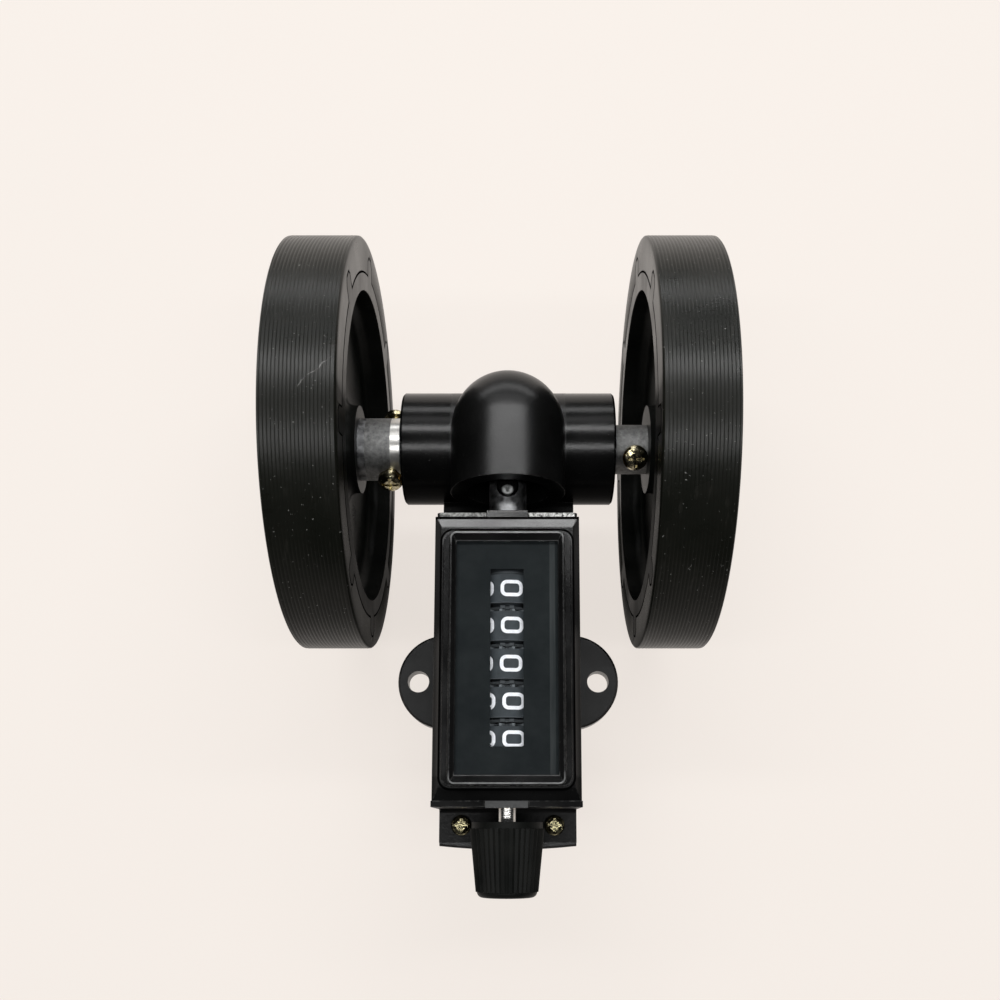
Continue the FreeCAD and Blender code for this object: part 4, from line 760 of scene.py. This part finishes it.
# Centre lines of the digits in millimetres: x, y and corner radius; the flag closes a line
DIGIT_LINES = {
    0: [(True, [(-DX, -DY, 1.1), (DX, -DY, 1.1), (DX, DY, 1.1), (-DX, DY, 1.1)])],
    1: [(False, [(-0.9, 1.3, 0), (0.35, DY, 0.2), (0.35, -DY, 0)])],
    2: [(False, [(-DX, 1.1, 0), (-DX, DY, 1.1), (DX, DY, 1.1), (DX, 0.3, 0.8),
                 (-1.45, -DY, 0.1), (DX, -DY, 0)])],
    3: [(False, [(-DX, DY, 0), (1.45, DY, 1.0), (1.45, 0.15, 0.9), (-0.6, 0.15, 0)]),
        (False, [(-0.6, 0.15, 0), (DX, 0.15, 1.0), (DX, -DY, 1.1), (-DX, -DY, 1.0),
                 (-DX, -1.2, 0)])],
    4: [(False, [(0.75, -DY, 0), (0.75, DY, 0.1), (-DX, -0.9, 0.1), (DX, -0.9, 0)])],
    5: [(False, [(1.4, DY, 0), (-1.4, DY, 0), (-1.5, 0.45, 0), (DX, 0.55, 1.1),
                 (DX, -DY, 1.1), (-DX, -DY, 1.0), (-DX, -1.2, 0)])],
    6: [(True, [(-DX, -DY, 1.1), (DX, -DY, 1.1), (DX, 0.4, 1.0), (-DX, 0.4, 1.0)]),
        (False, [(-DX, -0.9, 0), (-DX, DY, 1.1), (DX, DY, 1.1), (DX, 1.3, 0)])],
    7: [(False, [(-DX, DY, 0), (1.5, DY, 0.2), (-0.4, -DY, 0)])],
    8: [(True, [(-DX, -DY, 1.1), (DX, -DY, 1.1), (DX, 0.15, 0.9), (-DX, 0.15, 0.9)]),
        (True, [(-1.4, 0.15, 0.9), (1.4, 0.15, 0.9), (1.4, DY, 1.0), (-1.4, DY, 1.0)])],
    9: [(True, [(-DX, -0.4, 1.0), (DX, -0.4, 1.0), (DX, DY, 1.1), (-DX, DY, 1.1)]),
        (False, [(DX, 0.9, 0), (DX, -DY, 1.1), (-DX, -DY, 1.1), (-DX, -1.3, 0)])],
}


def rounded_line(corners, closed):
    """Points along a line through corners, each corner rounded by its radius."""
    count = len(corners)
    path = []
    for index, (x, y, radius) in enumerate(corners):
        here = Vector((x, y))
        if radius == 0:
            path.append(here)
            continue
        back = (Vector(corners[index - 1][:2]) - here).normalized()
        ahead = (Vector(corners[(index + 1) % count][:2]) - here).normalized()
        half = back.angle(ahead) / 2
        reach = radius / math.tan(half)
        middle = here + (back + ahead).normalized() * radius / math.sin(half)
        start = here + back * reach - middle
        swing = start.angle_signed(here + ahead * reach - middle)
        steps = 6
        for step in range(steps + 1):
            angle = -swing * step / steps
            turned = Matrix.Rotation(angle, 2) @ start
            path.append(middle + turned)
    if closed:
        path.append(path[0].copy())
    fine = [path[0]]
    for spot in path[1:]:
        last = fine[-1]
        pieces = max(1, math.ceil((spot - last).length / 0.4))
        fine += [last.lerp(spot, part / pieces) for part in range(1, pieces + 1)]
    return fine


def ribbon(path, closed, width):
    """A flat band of one width along a line; gives its points and faces."""
    points = []
    last = len(path) - 1
    for index, spot in enumerate(path):
        before = path[index - 1] if index else path[last - 1]
        after = path[index + 1] if index < last else path[1]
        into = (spot - before).normalized()
        out = (after - spot).normalized()
        if not closed and index == 0:
            into = out
        if not closed and index == last:
            out = into
        along = (into + out).normalized()
        side = Vector((-along.y, along.x))
        reach = width / 2 / max(0.75, along.dot(into))
        points += [spot + side * reach, spot - side * reach]
    faces = [(row * 2, row * 2 + 1, row * 2 + 3, row * 2 + 2) for row in range(last)]
    return points, faces


def make_digits():
    """Ten printed digits round each drum, reading along Y with their tops to the left."""
    for drum, (turn, shift) in enumerate(zip(DIGIT_TURN, DIGIT_SHIFT)):
        middle = DRUM_TOP_Y - DRUM_PITCH * drum + shift
        points = []
        faces = []
        for number, lines in DIGIT_LINES.items():
            centre = math.radians(REST_TURN + turn + 36.0 * number)
            for layer, (closed, corners) in enumerate(lines):
                spots, loops = ribbon(rounded_line(corners, closed), closed, STROKE_WIDTH)
                start = len(points)
                radius = DRUM_RADIUS + INK_HEIGHT + INK_LAYER * layer
                for spot in spots:
                    angle = centre - spot.y / DRUM_RADIUS
                    points.append((radius * math.sin(angle), middle + spot.x,
                                   COUNTER_Z + radius * math.cos(angle)))
                faces += [tuple(start + corner for corner in loop) for loop in loops]
        body = "units_drive" if drum == 0 else f"drum_{drum + 1}"
        piece(f"digits_{drum + 1}", points, faces, "digit", body)


make_tyre("left", LEFT_WHEEL_X)
make_tyre("right", RIGHT_WHEEL_X)
make_gap_shade("left", LEFT_WHEEL_X + WHEEL_WIDTH / 2 + 0.02)
make_gap_shade("right", RIGHT_WHEEL_X - WHEEL_WIDTH / 2 - 0.02)
make_threads()
make_digits()


# Floor, lights and camera


def make_floor():
    """A pale floor under the wheels: part paint, which keeps the shadow, and part glow."""
    level = CAD_BOX[0].z - FLOOR_DROP
    mesh = bpy.data.meshes.new("floor")
    corners = [(-1, -1), (1, -1), (1, 1), (-1, 1)]
    mesh.from_pydata([(x * FLOOR_REACH, y * FLOOR_REACH, level) for x, y in corners], [],
                     [(0, 1, 2, 3)])
    floor = bpy.data.objects.new("floor", mesh)
    bpy.context.scene.collection.objects.link(floor)
    made = Shader("floor_paint")
    grain = made.noise(12.0, 3.0)
    made.colour(made.mix(made.spread(grain, 0.3, 0.7), (0.87, 0.825, 0.78), (0.885, 0.84, 0.795)))
    made.roughness(0.9)
    made.set(Specular_IOR_Level=0.1)
    show = made.nodes.new("ShaderNodeEmission")
    show.inputs["Color"].default_value = (0.905, 0.838, 0.783, 1.0)
    seen = made.nodes.new("ShaderNodeLightPath")
    mirrored = made.math("MAXIMUM", seen.outputs["Is Glossy Ray"],
                         seen.outputs["Is Transmission Ray"])
    direct = made.math("MAXIMUM", seen.outputs["Is Camera Ray"], mirrored)
    share = made.math("MULTIPLY", direct, FLOOR_GLOW)
    blend = made.nodes.new("ShaderNodeMixShader")
    made.link(share, blend.inputs["Fac"])
    made.link(made.main.outputs["BSDF"], blend.inputs[1])
    made.link(show.outputs["Emission"], blend.inputs[2])
    made.link(blend.outputs["Shader"], made.nodes["Material Output"].inputs["Surface"])
    mesh.materials.append(made.material)


def lamp(name, place, aim, width, length, power):
    """A soft rectangular lamp whose width lies along X."""
    light = bpy.data.lights.new(name, "AREA")
    light.shape = "RECTANGLE"
    light.size = width
    light.size_y = length
    light.energy = power
    made = bpy.data.objects.new(name, light)
    made.location = place
    made.rotation_mode = "QUATERNION"
    made.rotation_quaternion = (Vector(place) - Vector(aim)).to_track_quat("Z", "Y")
    bpy.context.scene.collection.objects.link(made)


def make_lights():
    """Three long strips over the axle, a box above the top edge, and a dim world."""
    for name, lean, breadth, power in STRIPS:
        angle = math.radians(lean)
        place = (0.0, AXLE_Y * MM + LAMP_REACH * math.sin(angle), LAMP_REACH * math.cos(angle))
        lamp(name, place, LAMP_AIM, STRIP_WIDTH, breadth, power)
    lamp("upper_box", (0.0, 1.068, 0.404), (0.0, 0.034, 0.03), 1.8, 0.17, 5.2)
    world = bpy.data.worlds.new("studio")
    world.use_nodes = True
    back = world.node_tree.nodes["Background"]
    back.inputs["Color"].default_value = (0.95, 0.965, 1.0, 1.0)
    back.inputs["Strength"].default_value = 0.05
    bpy.context.scene.world = world


def make_camera():
    """The camera at the photograph's place: above the dial, a little towards the knob."""
    camera = bpy.data.cameras.new("camera")
    camera.sensor_width = SENSOR
    camera.lens = SENSOR * FOCAL_SHARE
    camera.shift_x, camera.shift_y = CAMERA_SHIFT
    camera.clip_start = 0.01
    camera.clip_end = 20.0
    made = bpy.data.objects.new("camera", camera)
    made.location = Vector(CAMERA_PLACE) * MM
    made.rotation_euler = (math.radians(CAMERA_TILT), 0.0, 0.0)
    bpy.context.scene.collection.objects.link(made)
    bpy.context.scene.camera = made


make_floor()
make_lights()
make_camera()
bpy.context.scene.view_settings.view_transform = "Standard"
